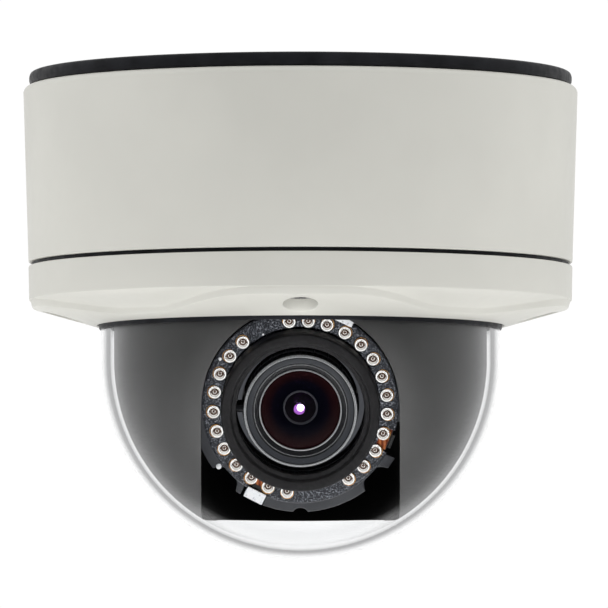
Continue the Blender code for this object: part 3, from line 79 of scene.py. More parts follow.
FIXING_CIRCLE = 0.048  # ceiling screws, between the cover screws
BOSS_RADIUS = 0.006
SCREW_HOLE_RADIUS = 0.0022
FIXING_HOLE_RADIUS = 0.0026
CABLE_ENTRY = (0.0, 0.042)
SEAM_HEIGHT = HOUSING_LOW.z - 1.1 * MM
SHARP_ANGLE = 38.0


# ---- Sizes and colours that a user may change --------------------------------------------------


def tint(name, description, default):
    return FloatVectorProperty(
        name=name, description=description, subtype="COLOR", default=default, min=0.0, max=1.0
    )


def length(name, description, default, **limits):
    return FloatProperty(
        name=name, description=description, default=default, unit="LENGTH", **limits
    )


def number(name, description, default, **limits):
    kind = IntProperty if isinstance(default, int) else FloatProperty
    return kind(name=name, description=description, default=default, **limits)


class DOMECAM_PG_cover(bpy.types.PropertyGroup):
    """Housing, cover ring and gasket"""

    paint: tint("Paint", "Powder coat on the housing and the cover ring", (0.625, 0.62, 0.572))
    paint_grain: length("Paint grain", "Size of the bumps in the powder coat", 0.0007, min=0.0001)
    edge_round: length("Top edge round", "Rounding of the housing's top edge", 0.0017, min=0.0002)
    scoop_slope: number("Scoop slope", "Rise of the scoops between the bosses", 0.30, min=0.0)
    rubber: tint("Rubber", "Colour of the gasket and the seals", (0.012, 0.0125, 0.0155))


class DOMECAM_PG_bubble(bpy.types.PropertyGroup):
    """Bubble and liner"""

    wall: length("Bubble wall", "Thickness of the clear bubble", 0.0025, min=0.0005)
    refraction: number(
        "Refraction", "How strongly the bubble bends and mirrors light", 1.30, min=1.0, max=2.0
    )
    liner_paint: tint("Liner", "Colour of the liner behind the bubble", (0.062, 0.061, 0.060))
    liner_wall: length("Liner wall", "Thickness of the liner", 0.0014, min=0.0005)


class DOMECAM_PG_lamps(bpy.types.PropertyGroup):
    """Infrared lamps and the plate around them"""

    circle: length("Lamp circle", "Radius of the circle the lamps stand on", 0.0231, min=0.005)
    radius: length("Lamp radius", "Radius of one lamp", 0.00165, min=0.0005)
    first_count: number("Lamps in the first arc", "From the top clockwise", 13, min=1)
    second_count: number("Lamps in the second arc", "From the bottom clockwise", 11, min=1)
    plate_colour: tint(
        "Plate", "Darker colour of the textured lamp plate", (0.006, 0.0064, 0.0076)
    )
    plate_fleck: length("Fleck size", "Size of the flecks in the plate", 0.00045, min=0.0001)


class DOMECAM_PG_lens(bpy.types.PropertyGroup):
    """Zoom lens and its hood"""

    front_radius: length("Lens front", "Outer radius of the lens front", 0.0151, min=0.005)
    glass_radius: length("Front glass", "Radius of the front glass", 0.01055, min=0.003)
    # Colour of the painted reflection of the lens coatings near the rim of the glass.
    painted_coat_reflection: tint("Coating", "Tint of the coated glass near its rim", (0.0085, 0.0026, 0.0028))
    ribs: number("Grip ribs", "Grip ribs around the zoom and focus rings", 60, min=12)


class DOMECAM_PG_stage(bpy.types.PropertyGroup):
    """Floor, light and camera"""

    distance: length("Camera distance", "From the camera to the object's axis", 2.6, min=0.5)
    camera_height: length("Camera height", "Height of the camera from the ceiling", -0.205)
    aim_height: length("Aim height", "Height on the axis that the camera looks at", -0.0626)
    aim_side: length("Aim sideways", "How far to the side the camera stands and looks", 0.00095)
    focal_length: number("Focal length", "In millimetres on a 36 mm sensor", 570.5, min=20.0)
    floor_drop: length("Floor", "Height of the floor below the ceiling face", -6.0)


# ---- Mesh helpers ------------------------------------------------------------------------------


def rounded(corners, steps=5):
    """Outline points from corners (radius, height, rounding), all in millimetres."""
    points = []
    count = len(corners)
    for n, corner in enumerate(corners):
        here = Vector(corner[:2])
        rounding = corner[2] if len(corner) > 2 else 0.0
        before = Vector(corners[n - 1][:2])
        after = Vector(corners[(n + 1) % count][:2])
        if rounding <= 0.0:
            points.append(here * MM)
            continue
        first = here + (before - here).normalized() * min(rounding, 0.48 * (before - here).length)
        last = here + (after - here).normalized() * min(rounding, 0.48 * (after - here).length)
        for step in range(steps + 1):
            t = step / steps
            bent = first * (1 - t) ** 2 + here * 0.6 * 2 * t * (1 - t) + last * t**2
            bent += (first + last) * 0.5 * 0.4 * 2 * t * (1 - t)
            points.append(bent * MM)
    return points


def arc(centre_height, radius, start, end, steps):
    """Points of an arc about the axis, in metres; angles in degrees from outwards."""
    points = []
    for step in range(steps + 1):
        angle = math.radians(start + (end - start) * step / steps)
        points.append(Vector((radius * math.cos(angle), centre_height + radius * math.sin(angle))))
    return points


def turned(outline, facets, bm=None):
    """A solid of revolution about +Z from an outline in metres; points on the axis become poles."""
    bm = bm or bmesh.new()
    rings = []
    for point in outline:
        radius, height = point[0], point[1]
        if radius < 1e-7:
            rings.append([bm.verts.new((0.0, 0.0, height))])
            continue
        ring = []
        for n in range(facets):
            angle = math.tau * n / facets
            ring.append(bm.verts.new((radius * math.cos(angle), radius * math.sin(angle), height)))
        rings.append(ring)
    pairs = list(zip(rings, rings[1:]))
    if len(rings[0]) > 1:
        pairs.append((rings[-1], rings[0]))
    for lower, upper in pairs:
        for n in range(facets):
            m = (n + 1) % facets
            if len(lower) == 1 and len(upper) == 1:
                break
            if len(lower) == 1:
                bm.faces.new((lower[0], upper[m], upper[n]))
            elif len(upper) == 1:
                bm.faces.new((lower[n], lower[m], upper[0]))
            else:
                bm.faces.new((lower[n], lower[m], upper[m], upper[n]))
    return bm


def swept(section_at, facets):
    """A closed ring about +Z whose section, in metres, changes with the angle."""
    bm = bmesh.new()
    loops = []
    for n in range(facets):
        angle = math.tau * n / facets
        section = section_at(angle)
        loops.append(
            [bm.verts.new((r * math.cos(angle), r * math.sin(angle), z)) for r, z in section]
        )
    for n, loop in enumerate(loops):
        following = loops[(n + 1) % facets]
        for k in range(len(loop)):
            j = (k + 1) % len(loop)
            bm.faces.new((loop[k], loop[j], following[j], following[k]))
    return bm


def block(bm, low, high, edge=0.0, turn=None):
    """A box between two corners in metres, its edges bevelled."""
    made = bmesh.ops.create_cube(bm, size=1.0)["verts"]
    centre = [(a + b) / 2.0 for a, b in zip(low, high)]
    size = [b - a for a, b in zip(low, high)]
    bmesh.ops.transform(
        bm, verts=made, matrix=Matrix.Translation(centre) @ Matrix.Diagonal((*size, 1.0))
    )
    if edge > 0.0:
        edges = {e for v in made for e in v.link_edges}
        bevelled = bmesh.ops.bevel(
            bm, geom=list(edges), offset=edge, segments=2, profile=0.7, affect="EDGES"
        )
        corners = {v for v in made if v.is_valid}
        made = list({v for f in bevelled["faces"] for v in f.verts} | corners)
    if turn:
        bmesh.ops.transform(bm, verts=made, matrix=turn)
    return bm


def rod(bm, radius, low, high, at=(0.0, 0.0), facets=32, turn=None):
    """A plain cylinder along Z."""
    matrix = Matrix.Translation((*at, (low + high) / 2.0))
    bmesh.ops.create_cone(
        bm,
        cap_ends=True,
        segments=facets,
        radius1=radius,
        radius2=radius,
        depth=high - low,
        matrix=turn @ matrix if turn else matrix,
    )
    return bm


def prism(outline, low, high):
    """A prism on Z over a flat outline in metres."""
    bm = bmesh.new()
    face = bm.faces.new([bm.verts.new((x, y, low)) for x, y in outline])
    grown = bmesh.ops.extrude_face_region(bm, geom=[face])["geom"]
    moved = [element for element in grown if isinstance(element, bmesh.types.BMVert)]
    bmesh.ops.translate(bm, verts=moved, vec=(0.0, 0.0, high - low))
    return bm


def clockwise(angle):
    """A turn about Z that brings +Y to that angle clockwise from the top."""
    return Matrix.Rotation(-angle, 4, "Z")


def settled(bm, name, sharp=SHARP_ANGLE):
    """A mesh from the bmesh with its faces outwards and its round sides smooth."""
    bmesh.ops.remove_doubles(bm, verts=bm.verts, dist=2e-7)
    bmesh.ops.recalc_face_normals(bm, faces=bm.faces)
    mesh = bpy.data.meshes.new(name)
    bm.to_mesh(mesh)
    bm.free()
    mesh.shade_smooth()
    mesh.set_sharp_from_angle(angle=math.radians(sharp))
    return mesh


def hang(obj, body, stands_for=()):
    """Makes the finished object ride on its body and stand for its CAD nodes."""
    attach(obj, body)
    if stands_for:
        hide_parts(*stands_for)
    return obj


def linked(name, mesh, finish=None):
    if finish:
        mesh.materials.clear()
        mesh.materials.append(finish)
    made = bpy.data.objects.new(name, mesh)
    bpy.context.scene.collection.objects.link(made)
    return made


def cut(obj, bm, operation="DIFFERENCE"):
    """Cuts the tool out of the object, or joins it, for good."""
    faces_before = len(obj.data.polygons)
    tool = linked("tool_" + obj.name, settled(bm, "tool_" + obj.name))
    change = obj.modifiers.new("Cut", "BOOLEAN")
    change.operation = operation
    change.solver = "EXACT"
    change.object = tool
    apply_modifiers(obj)
    bpy.data.objects.remove(tool)
    if len(obj.data.polygons) < 0.6 * faces_before:
        raise RuntimeError("the cut left too little of " + obj.name)


def apply_modifiers(obj):
    """Turns the object with its modifiers into a plain mesh."""
    bpy.context.view_layer.update()
    depsgraph = bpy.context.evaluated_depsgraph_get()
    mesh = bpy.data.meshes.new_from_object(obj.evaluated_get(depsgraph), depsgraph=depsgraph)
    obj.modifiers.clear()
    obj.data = mesh


def smooth_sides(obj, sharp=SHARP_ANGLE):
    obj.data.shade_smooth()
    obj.data.set_sharp_from_angle(angle=math.radians(sharp))


def tilt_into_place(obj):
    """Moves a piece that was drawn about the lens axis to where the lens is, in its mesh."""
    obj.data.transform(LENS_FRAME)
    obj.data.update()


def made_of(name, bm, finish=None):
    return linked(name, settled(bm, name), finish_of(finish) if finish else None)


def turned_piece(name, corners, steps, facets, finish=None):
    """A piece turned from corners in millimetres."""
    return made_of(name, turned(rounded(corners, steps), facets), finish)


def refinished(obj, finish, sharp=SHARP_ANGLE):
    """Gives a piece that has been cut its one finish, and smooth round sides again."""
    obj.data.materials.clear()
    obj.data.materials.append(finish_of(finish))
    smooth_sides(obj, sharp)


def hang_in_module(obj, body, stands_for=()):
    """Hangs a piece that was drawn about the lens axis where the lens is."""
    tilt_into_place(obj)
    return hang(obj, body, stands_for)


def spots_on(radius, angles):
    return [(radius * math.cos(angle), radius * math.sin(angle)) for angle in angles]


def rods(radius, low, high, spots, facets, bm=None):
    """Plain cylinders along Z at each of the spots."""
    bm = bm or bmesh.new()
    for at in spots:
        rod(bm, radius, low, high, at, facets)
    return bm


# ---- Geometry Nodes helpers --------------------------------------------------------------------

ARC_SIZES = ("Radius", "First angle", "Step angle", "Height", "Spread", "Spin")


def tree_node(tree, kind, settings=None, inputs=None):
    """A new node with these settings, its inputs linked or set by name."""
    made = tree.nodes.new(kind)
    for name, value in (settings or {}).items():
        setattr(made, name, value)
    for name, value in (inputs or {}).items():
        socket = made.inputs[name]
        if isinstance(value, bpy.types.NodeSocket):
            tree.links.new(value, socket)
        else:
            socket.default_value = value
    return made


def sums(tree, operation, a, b=0.0):
    return tree_node(tree, "ShaderNodeMath", {"operation": operation}, {0: a, 1: b}).outputs[0]


def spanned(tree, value, from_low, from_high, to_low=0.0, to_high=1.0):
    ends = {"From Min": from_low, "From Max": from_high, "To Min": to_low, "To Max": to_high}
    return tree_node(tree, "ShaderNodeMapRange", None, {"Value": value, **ends}).outputs["Result"]


def arc_of_parts_tree():
    """Copies of one part along an arc about Z, each turned to face outwards."""
    name = "Arc of parts"
    if name in bpy.data.node_groups:
        return bpy.data.node_groups[name]
    tree = bpy.data.node_groups.new(name, "GeometryNodeTree")
    face = tree.interface
    for word, kind in (
        ("Geometry", "Geometry"),
        ("Part", "Object"),
        ("Finish", "Material"),
        ("Count", "Int"),
        *((word, "Float") for word in ARC_SIZES),
    ):
        face.new_socket(word, in_out="INPUT", socket_type="NodeSocket" + kind)
    face.new_socket("Geometry", in_out="OUTPUT", socket_type="NodeSocketGeometry")
    given = tree_node(tree, "NodeGroupInput").outputs
    index = tree_node(tree, "GeometryNodeInputIndex").outputs[0]
    shake = tree_node(
        tree,
        "FunctionNodeRandomValue",
        {"data_type": "FLOAT"},
        {"Min": -1.0, "Max": 1.0, "ID": index, "Seed": 7},
    ).outputs[1]
    steps = sums(tree, "MULTIPLY", given["Step angle"], index)
    angle = sums(tree, "ADD", given["First angle"], steps)
    angle = sums(tree, "ADD", angle, sums(tree, "MULTIPLY", shake, given["Spread"]))
    x = sums(tree, "MULTIPLY", sums(tree, "SINE", angle), given["Radius"])
    y = sums(tree, "MULTIPLY", sums(tree, "COSINE", angle), given["Radius"])
    back = sums(tree, "MULTIPLY", angle, -1.0)
    turn = sums(tree, "ADD", back, sums(tree, "MULTIPLY", shake, given["Spin"]))

    def step(kind, inputs):
        return tree_node(tree, kind, None, inputs).outputs[0]

    place = step("ShaderNodeCombineXYZ", {"X": x, "Y": y, "Z": given["Height"]})
    line = step("GeometryNodeMeshLine", {"Count": given["Count"]})
    spots = step("GeometryNodeSetPosition", {"Geometry": line, "Position": place})
    facing = step("ShaderNodeCombineXYZ", {"Z": turn})
    part = tree_node(tree, "GeometryNodeObjectInfo", None, {"Object": given["Part"]})
    copies = step(
        "GeometryNodeInstanceOnPoints",
        {"Points": spots, "Instance": part.outputs["Geometry"], "Rotation": facing},
    )
    real = step("GeometryNodeRealizeInstances", {"Geometry": copies})
    finished = step("GeometryNodeSetMaterial", {"Geometry": real, "Material": given["Finish"]})
    tree_node(tree, "NodeGroupOutput", None, {"Geometry": finished})
    return tree


def grown(name, tree, values):
    """A plain mesh object from a Geometry Nodes tree with these values on its named inputs."""
    made = linked(name, bpy.data.meshes.new(name))
    change = made.modifiers.new("Grow", "NODES")
    change.node_group = tree
    for item in tree.interface.items_tree:
        if item.item_type == "SOCKET" and item.in_out == "INPUT" and item.name in values:
            change[item.identifier] = values[item.name]
    apply_modifiers(made)
    made.data.name = name
    return made


def arc_of_parts(name, part, finish, count, radius, first, step, height=0.0, spread=0.0, spin=0.0):
    """Copies of the part object on an arc about Z, as one plain piece."""
    sizes = dict(zip(ARC_SIZES, (radius, first, step, height, spread, spin)))
    values = {"Part": part, "Finish": finish_of(finish), "Count": count, **sizes}
    made = grown(name, arc_of_parts_tree(), values)
    smooth_sides(made)
    bpy.data.objects.remove(part)
    return made


# ---- Finishes ----------------------------------------------------------------------------------


class Finish:
    """A material on the Principled shader, with short ways to add its patterns."""

    def __init__(self, name, colour, roughness, metallic=0.0):
        self.material = bpy.data.materials.new(name)
        self.material.use_nodes = True
        self.tree = self.material.node_tree
        self.shader = self.tree.nodes["Principled BSDF"]
        self.shader.inputs["Base Color"].default_value = (*colour, 1.0)
        self.shader.inputs["Roughness"].default_value = roughness
        self.shader.inputs["Metallic"].default_value = metallic
        self.material.diffuse_color = (*colour, 1.0)

    def add(self, kind, settings=None, inputs=None):
        return tree_node(self.tree, kind, settings, inputs)

    def set(self, **values):
        for name, value in values.items():
            self.shader.inputs[name.replace("_", " ")].default_value = value
        return self

    def coords(self, scale=1.0, frame_back=None, stretch=(1.0, 1.0, 1.0)):
        """Object coordinates, brought about the lens axis first where that is given."""
        here = self.add("ShaderNodeTexCoord").outputs["Object"]
        if frame_back:
            turn = frame_back.to_euler()
            here = self.add(
                "ShaderNodeMapping",
                {"vector_type": "POINT"},
                {"Vector": here, "Location": frame_back.to_translation(), "Rotation": turn},
            ).outputs[0]
        scales = tuple(scale * share for share in stretch)
        return self.add("ShaderNodeMapping", None, {"Vector": here, "Scale": scales}).outputs[0]

    def noise(self, size, detail=2.0, where=None, rough=0.5):
        """Noise whose lumps are about that size in metres."""
        return self.add(
            "ShaderNodeTexNoise",
            None,
            {
                "Vector": where or self.coords(),
                "Scale": 1.0 / size,
                "Detail": detail,
                "Roughness": rough,
            },
        ).outputs["Fac"]

    def cells(self, size, where=None, feature="F1"):
        return self.add(
            "ShaderNodeTexVoronoi",
            {"feature": feature},
            {"Vector": where or self.coords(), "Scale": 1.0 / size},
        )

    def ramp(self, factor, stops):
        made = self.add("ShaderNodeValToRGB", None, {"Fac": factor})
        band = made.color_ramp
        band.elements[0].position, band.elements[0].color = stops[0][0], (*stops[0][1], 1.0)
        band.elements[1].position, band.elements[1].color = stops[-1][0], (*stops[-1][1], 1.0)
        for position, colour in stops[1:-1]:
            band.elements.new(position).color = (*colour, 1.0)
        return made.outputs["Color"]

    def span(self, factor, low, high, from_low=0.0, from_high=1.0):
        return spanned(self.tree, factor, from_low, from_high, low, high)

    def turning_lines(self, scale, distortion, detail):
        """Fine lines of the lathe about the lens axis."""
        around = self.coords(frame_back=LENS_FRAME_BACK)
        return self.add(
            "ShaderNodeTexWave",
            {"wave_type": "RINGS", "rings_direction": "Z"},
            {"Vector": around, "Scale": scale, "Distortion": distortion, "Detail": detail},
        ).outputs["Fac"]

    def colour(self, source):
        self.tree.links.new(source, self.shader.inputs["Base Color"])
        return self

    def roughness(self, source):
        self.tree.links.new(source, self.shader.inputs["Roughness"])
        return self

    def bump(self, height, strength, depth, below=None):
        """Bumps of that depth in metres; below is an earlier bump to build on."""
        inputs = {"Height": height, "Strength": strength, "Distance": depth}
        if below:
            inputs["Normal"] = below
        made = self.add("ShaderNodeBump", None, inputs).outputs[0]
        self.tree.links.new(made, self.shader.inputs["Normal"])
        return made


def shades(colour, less, more):
    """A darker and a lighter one of the colour."""
    return tuple(c * less for c in colour), tuple(min(c * more, 1.0) for c in colour)


def finish_of(name):
    """The material of that name, made at its first use."""
    if name in bpy.data.materials:
        return bpy.data.materials[name]
    if name in MOTTLED:
        return mottled(name, *MOTTLED[name]).material
    if name in BRUSHED:
        return brushed(name, *BRUSHED[name]).material
    return FINISHES[name](name)


def mottled(
    name, roughness, metallic, base, tones, patches, shine, wear, grain, ends=(0.3, 0.7), level=None
):
    """A finish whose colour, roughness and bumps each follow a noise of their own.

    tones is the darker and the lighter colour, patches the size and detail of their noise and
    ends where on it they are reached, shine the lowest and highest roughness and wear its
    noise, and grain the noise, strength and depth of the bumps.
    """
    made = Finish(name, base, roughness, metallic)
    made.colour(made.ramp(made.noise(*patches), list(zip(ends, tones))))
    made.roughness(made.span(made.noise(*wear), *shine, 0.3, 0.7))
    if grain:
        noise, strength, depth = grain
        made.bump(made.noise(*noise), strength, depth)
    if level is not None:
        made.set(Specular_IOR_Level=level)
    return made


def brushed(name, roughness, base, tones, patches, stretch, shine, strength, depth):
    """Bare metal whose colour, roughness and bumps follow one stretched noise."""
    made = Finish(name, base, roughness, 1.0)
    grain = made.noise(*patches, made.coords(stretch=stretch))
    made.colour(made.ramp(grain, list(zip((0.3, 0.7), tones))))
    made.roughness(made.span(grain, *shine, 0.3, 0.7))
    made.bump(grain, strength, depth)
    return made


def powder_coat(name):
    cover = bpy.context.scene.domecam_cover
    tones = shades(cover.paint, 0.965, 1.02)
    grain = ((cover.paint_grain, 2.0), 0.10, 0.00003)
    patches, wear = (0.035, 3.0), (0.004, 3.0)
    return mottled(
        name, 0.42, 0.0, cover.paint, tones, patches, (0.38, 0.48), wear, grain
    ).material


def rubber(name):
    colour = bpy.context.scene.domecam_cover.rubber
    tones = shades(colour, 0.8, 1.5)
    grain = ((0.0004, 2.0), 0.25, 0.00003)
    patches, wear = (0.006, 4.0), (0.002, 3.0)
    return mottled(
        name, 0.42, 0.0, colour, tones, patches, (0.34, 0.52), wear, grain, level=0.3
    ).material


def see_through(name, colour, refraction, passing_colour, speck):
    """A clear material that lets light fall straight through to what is behind it."""
    made = Finish(name, colour, 0.0)
    made.set(Transmission_Weight=1.0, IOR=refraction)
    dark, light = shades(colour, 0.985, 1.0)
    made.colour(made.ramp(made.noise(speck, 2.0), [(0.35, dark), (0.6, light)]))
    passing = made.add("ShaderNodeBsdfTransparent", None, {"Color": (*passing_colour, 1.0)})
    shadow = made.add("ShaderNodeLightPath").outputs["Is Shadow Ray"]
    mixed = made.add(
        "ShaderNodeMixShader",
        None,
        {0: shadow, 1: made.shader.outputs[0], 2: passing.outputs[0]},
    )
    made.tree.links.new(mixed.outputs[0], made.tree.nodes["Material Output"].inputs["Surface"])
    return made


def clear_plastic(name):
    refraction = bpy.context.scene.domecam_bubble.refraction
    made = see_through(name, (0.985, 0.99, 0.995), refraction, (0.96, 0.965, 0.97), 0.02)
    return made.material


def lamp_resin(name):
    made = see_through(name, (1.0, 0.995, 0.985), 1.38, (0.97, 0.965, 0.95), 0.0008)
    return made.material


def liner_paint(name):
    bubble = bpy.context.scene.domecam_bubble
    made = Finish(name, bubble.liner_paint, 0.36)
    dark, light = shades(bubble.liner_paint, 0.88, 1.14)
    paint = made.ramp(made.noise(0.03, 4.0), [(0.3, dark), (0.7, light)])
    # Faces marked inside, turned into the liner's hollow, get the near-black colour below: painted
    # shade of the hollow, not the liner's own paint.
    inside = made.add("ShaderNodeAttribute", {"attribute_name": "inside"}).outputs["Fac"]
    made.colour(
        made.add(
            "ShaderNodeMix",
            {"data_type": "RGBA"},
            {0: inside, 6: paint, 7: (0.0022, 0.0022, 0.0025, 1.0)},
        ).outputs[2]
    )
    spun = made.noise(0.0016, 3.0, made.coords(stretch=(0.35, 0.35, 6.0)))
    made.roughness(made.span(spun, 0.33, 0.43, 0.3, 0.7))
    made.bump(made.noise(0.0005, 2.0), 0.12, 0.00002)
    return made.material


def fleck_texture(name):
    """The sparkling charcoal texture of the lamp plate."""
    lamps = bpy.context.scene.domecam_lamps
    made = Finish(name, lamps.plate_colour, 0.5)
    size = lamps.plate_fleck
    lumps = made.noise(size, 3.0, rough=0.7)
    cells = made.cells(size * 0.85).outputs["Distance"]
    both = made.add("ShaderNodeMath", {"operation": "MULTIPLY"}, {0: lumps, 1: cells}).outputs[0]
    dark = tuple(lamps.plate_colour)
    colour = made.ramp(
        both,
        [
            (0.10, dark),
            (0.22, tuple(c * 2.2 for c in dark)),
            (0.33, (0.055, 0.058, 0.066)),
            (0.46, (0.17, 0.175, 0.19)),
        ],
    )
    made.colour(colour)
    made.roughness(made.span(lumps, 0.30, 0.62, 0.3, 0.7))
    made.bump(both, 0.9, 0.00016)
    return made.material


def lens_black(name):
    """Black anodised metal of the lens barrel, with fine turning lines about its axis."""
    made = Finish(name, (0.004, 0.004, 0.0045), 0.30)
    lines = made.turning_lines(2400.0, 0.6, 2.0)
    made.colour(made.ramp(lines, [(0.0, (0.003, 0.003, 0.0034)), (1.0, (0.006, 0.006, 0.0068))]))
    made.roughness(made.span(lines, 0.24, 0.38))
    made.bump(lines, 0.08, 0.00001)
    return made.material


def lens_band(name):
    """Satin grey band on the lens front."""
    made = Finish(name, (0.018, 0.019, 0.021), 0.34)
    lines = made.turning_lines(3200.0, 1.2, 3.0)
    made.colour(made.ramp(lines, [(0.0, (0.014, 0.015, 0.017)), (1.0, (0.023, 0.024, 0.027))]))
    made.roughness(made.span(made.noise(0.002, 3.0), 0.28, 0.42, 0.3, 0.7))
    made.bump(lines, 0.10, 0.00001)
    return made.material


def bright_edge(name):
    """Bare turned metal on the bright edges of the lens."""
    made = Finish(name, (0.66, 0.67, 0.68), 0.22, 0.9)
    lines = made.turning_lines(5200.0, 0.4, 1.0)
    made.roughness(made.span(lines, 0.16, 0.30))
    made.bump(lines, 0.06, 0.00001)
    return made.material


def painted_reflection_rings(name, stops, roughness, coat, reach=0.0108):
    """Dark coated glass with the coatings' reflection painted in: its tint changes with the
    distance from the lens axis.
    """
    made = Finish(name, stops[0][1], roughness)
    around = made.coords(frame_back=LENS_FRAME_BACK)
    flat = made.add("ShaderNodeVectorMath", {"operation": "MULTIPLY"}, {0: around, 1: (1, 1, 0)})
    far = made.add("ShaderNodeVectorMath", {"operation": "LENGTH"}, {0: flat.outputs[0]})
    share = made.span(far.outputs["Value"], 0.0, 1.0, 0.0, reach)
    made.colour(made.ramp(share, stops))
    made.roughness(made.span(made.noise(0.004, 2.0), roughness, roughness + 0.03, 0.4, 0.7))
    made.set(Coat_Weight=coat, Coat_Roughness=0.3, Specular_IOR_Level=0.0)
    return made.material


def inner_glass(name):
    # The navy, red and brown rings are painted reflection of the lens coatings; the rim colour is
    # the reddish one at the edge.
    rim = tuple(bpy.context.scene.domecam_lens.painted_coat_reflection)
    return painted_reflection_rings(
        name,
        [
            (0.0, (0.0006, 0.0006, 0.0009)),
            (0.36, (0.0009, 0.0007, 0.0012)),
            (0.45, (0.0007, 0.0008, 0.0019)),
            (0.66, (0.0014, 0.0012, 0.0026)),
            (0.78, (0.0050, 0.0017, 0.0022)),
            (0.90, rim),
            (1.0, tuple(c * 0.7 for c in rim)),
        ],
        0.3,
        0.0,
    )


def pupil_glass(name):
    """The coated mirror-like glass in the middle of the lens."""
    made = Finish(name, (0.44, 0.38, 0.52), 0.0, 1.0)
    haze = made.noise(0.0015, 2.0)
    made.colour(made.ramp(haze, [(0.3, (0.40, 0.34, 0.48)), (0.7, (0.48, 0.42, 0.56))]))
    return made.material


def front_glass(name):
    made = see_through(name, (0.97, 0.95, 0.97), 1.18, (0.95, 0.94, 0.96), 0.005)
    return made.material


def copper_film(name):
    """Brown flexible print with its copper tracks."""
    made = Finish(name, (0.20, 0.055, 0.02), 0.3)
    tracks = made.add(
        "ShaderNodeTexWave",
        {"wave_type": "BANDS", "bands_direction": "X"},
        {"Vector": made.coords(frame_back=LENS_FRAME_BACK), "Scale": 260.0, "Distortion": 0.4},
    ).outputs["Fac"]
    made.colour(made.ramp(tracks, [(0.35, (0.10, 0.022, 0.010)), (0.65, (0.26, 0.085, 0.030))]))
    made.roughness(made.span(made.noise(0.001, 2.0), 0.2, 0.4, 0.3, 0.7))
    made.bump(tracks, 0.3, 0.00003)
    return made.material


def circuit_board(name):
    made = Finish(name, (0.012, 0.055, 0.028), 0.35)
    tracks = made.cells(0.0022, feature="F1").outputs["Distance"]
    pads = made.ramp(tracks, [(0.10, (0.45, 0.42, 0.30)), (0.14, (0.014, 0.075, 0.036))])
    made.colour(pads)
    made.roughness(made.span(made.noise(0.001, 2.0), 0.28, 0.45, 0.3, 0.7))
    made.bump(tracks, 0.3, 0.00004)
    return made.material


def floor_paint(name):
    made = Finish(name, (0.86, 0.86, 0.86), 0.75)
    made.colour(
        made.ramp(made.noise(0.6, 3.0), [(0.3, (0.85, 0.85, 0.85)), (0.7, (0.88, 0.88, 0.88))])
    )
    made.bump(made.noise(0.004, 2.0), 0.05, 0.0002)
    return made.material


# Roughness, metallic, plain colour, darker and lighter colour, their noise, lowest and highest
# roughness, its noise, bumps (noise, strength, depth), ends of the colours, mirror level.
MOTTLED = {
    "hood_rubber": (
        *(0.55, 0.0, (0.017, 0.0165, 0.0168), ((0.007, 0.0068, 0.0070), (0.013, 0.0125, 0.013))),
        *((0.0009, 4.0), (0.46, 0.64), (0.003, 3.0), ((0.00022, 2.0), 0.3, 0.00002)),
        *((0.3, 0.72), 0.3),
    ),
    # Dark grey moulded nylon of the roll ring.
    "satin_grey": (
        *(0.40, 0.0, (0.042, 0.043, 0.047), ((0.037, 0.038, 0.042), (0.048, 0.049, 0.053))),
        *((0.005, 4.0), (0.33, 0.47), (0.0012, 2.0), ((0.0003, 2.0), 0.18, 0.00002)),
    ),
    "black_plastic": (
        *(0.42, 0.0, (0.0075, 0.0075, 0.0082)),
        ((0.0055, 0.0055, 0.0062), (0.0105, 0.0105, 0.0115)),
        *((0.004, 3.0), (0.34, 0.52), (0.0008, 2.0), ((0.00025, 2.0), 0.2, 0.00002)),
    ),
    # Matt black nylon of the yoke and the rings that turn behind the liner, made blacker and duller
    # than its own black as painted shade inside the slot.
    "inner_black": (
        *(0.55, 0.0, (0.0035, 0.0035, 0.0038)),
        ((0.0024, 0.0024, 0.0028), (0.0050, 0.0050, 0.0055)),
        *((0.003, 3.0), (0.48, 0.66), (0.0008, 2.0), ((0.0003, 2.0), 0.2, 0.00002)),
        *((0.3, 0.7), 0.25),
    ),
    # Bright tinned sheet of the lamp clips.
    "plated": (
        *(0.32, 0.3, (0.86, 0.86, 0.87), ((0.80, 0.81, 0.83), (0.93, 0.93, 0.93))),
        *((0.002, 3.0), (0.24, 0.44), (0.0007, 2.0), ((0.0009, 3.0), 0.2, 0.00002)),
    ),
    # Polished bowl of a lamp.
    "mirror_cup": (
        *(0.16, 0.25, (0.97, 0.96, 0.94), ((0.80, 0.78, 0.75), (1.0, 0.995, 0.98))),
        *((0.0007, 3.0), (0.08, 0.28), (0.0005, 2.0), ((0.0006, 2.0), 0.3, 0.00004)),
        (0.3, 0.6),
    ),
    "amber_seat": (
        *(0.28, 0.6, (0.62, 0.29, 0.07), ((0.42, 0.17, 0.035), (0.80, 0.46, 0.16))),
        *((0.0008, 2.0), (0.18, 0.42), (0.0005, 2.0), None),
    ),
    "lamp_chip": (
        *(0.3, 0.0, (0.020, 0.010, 0.008), ((0.010, 0.006, 0.006), (0.10, 0.05, 0.03))),
        *((0.0002, 2.0), (0.2, 0.4), (0.0002, 2.0), None),
    ),
    "terminal_green": (
        *(0.42, 0.0, (0.02, 0.20, 0.07), ((0.016, 0.17, 0.06), (0.026, 0.24, 0.085))),
        *((0.003, 3.0), (0.35, 0.5), (0.0007, 2.0), ((0.0003, 2.0), 0.15, 0.00002)),
    ),
}

# Roughness, plain colour, darker and lighter colour, noise and how it is stretched, lowest and
# highest roughness, strength and depth of the bumps.
BRUSHED = {
    "steel": (
        *(0.3, (0.56, 0.56, 0.57), ((0.48, 0.48, 0.49), (0.64, 0.64, 0.65))),
        *((0.0006, 3.0), (1.0, 6.0, 1.0), (0.22, 0.42), 0.12, 0.00001),
    ),
    "bare_aluminium": (
        *(0.38, (0.70, 0.71, 0.72), ((0.60, 0.61, 0.62), (0.78, 0.79, 0.80))),
        *((0.0008, 3.0), (1.0, 1.0, 5.0), (0.30, 0.48), 0.15, 0.00002),
    ),
}

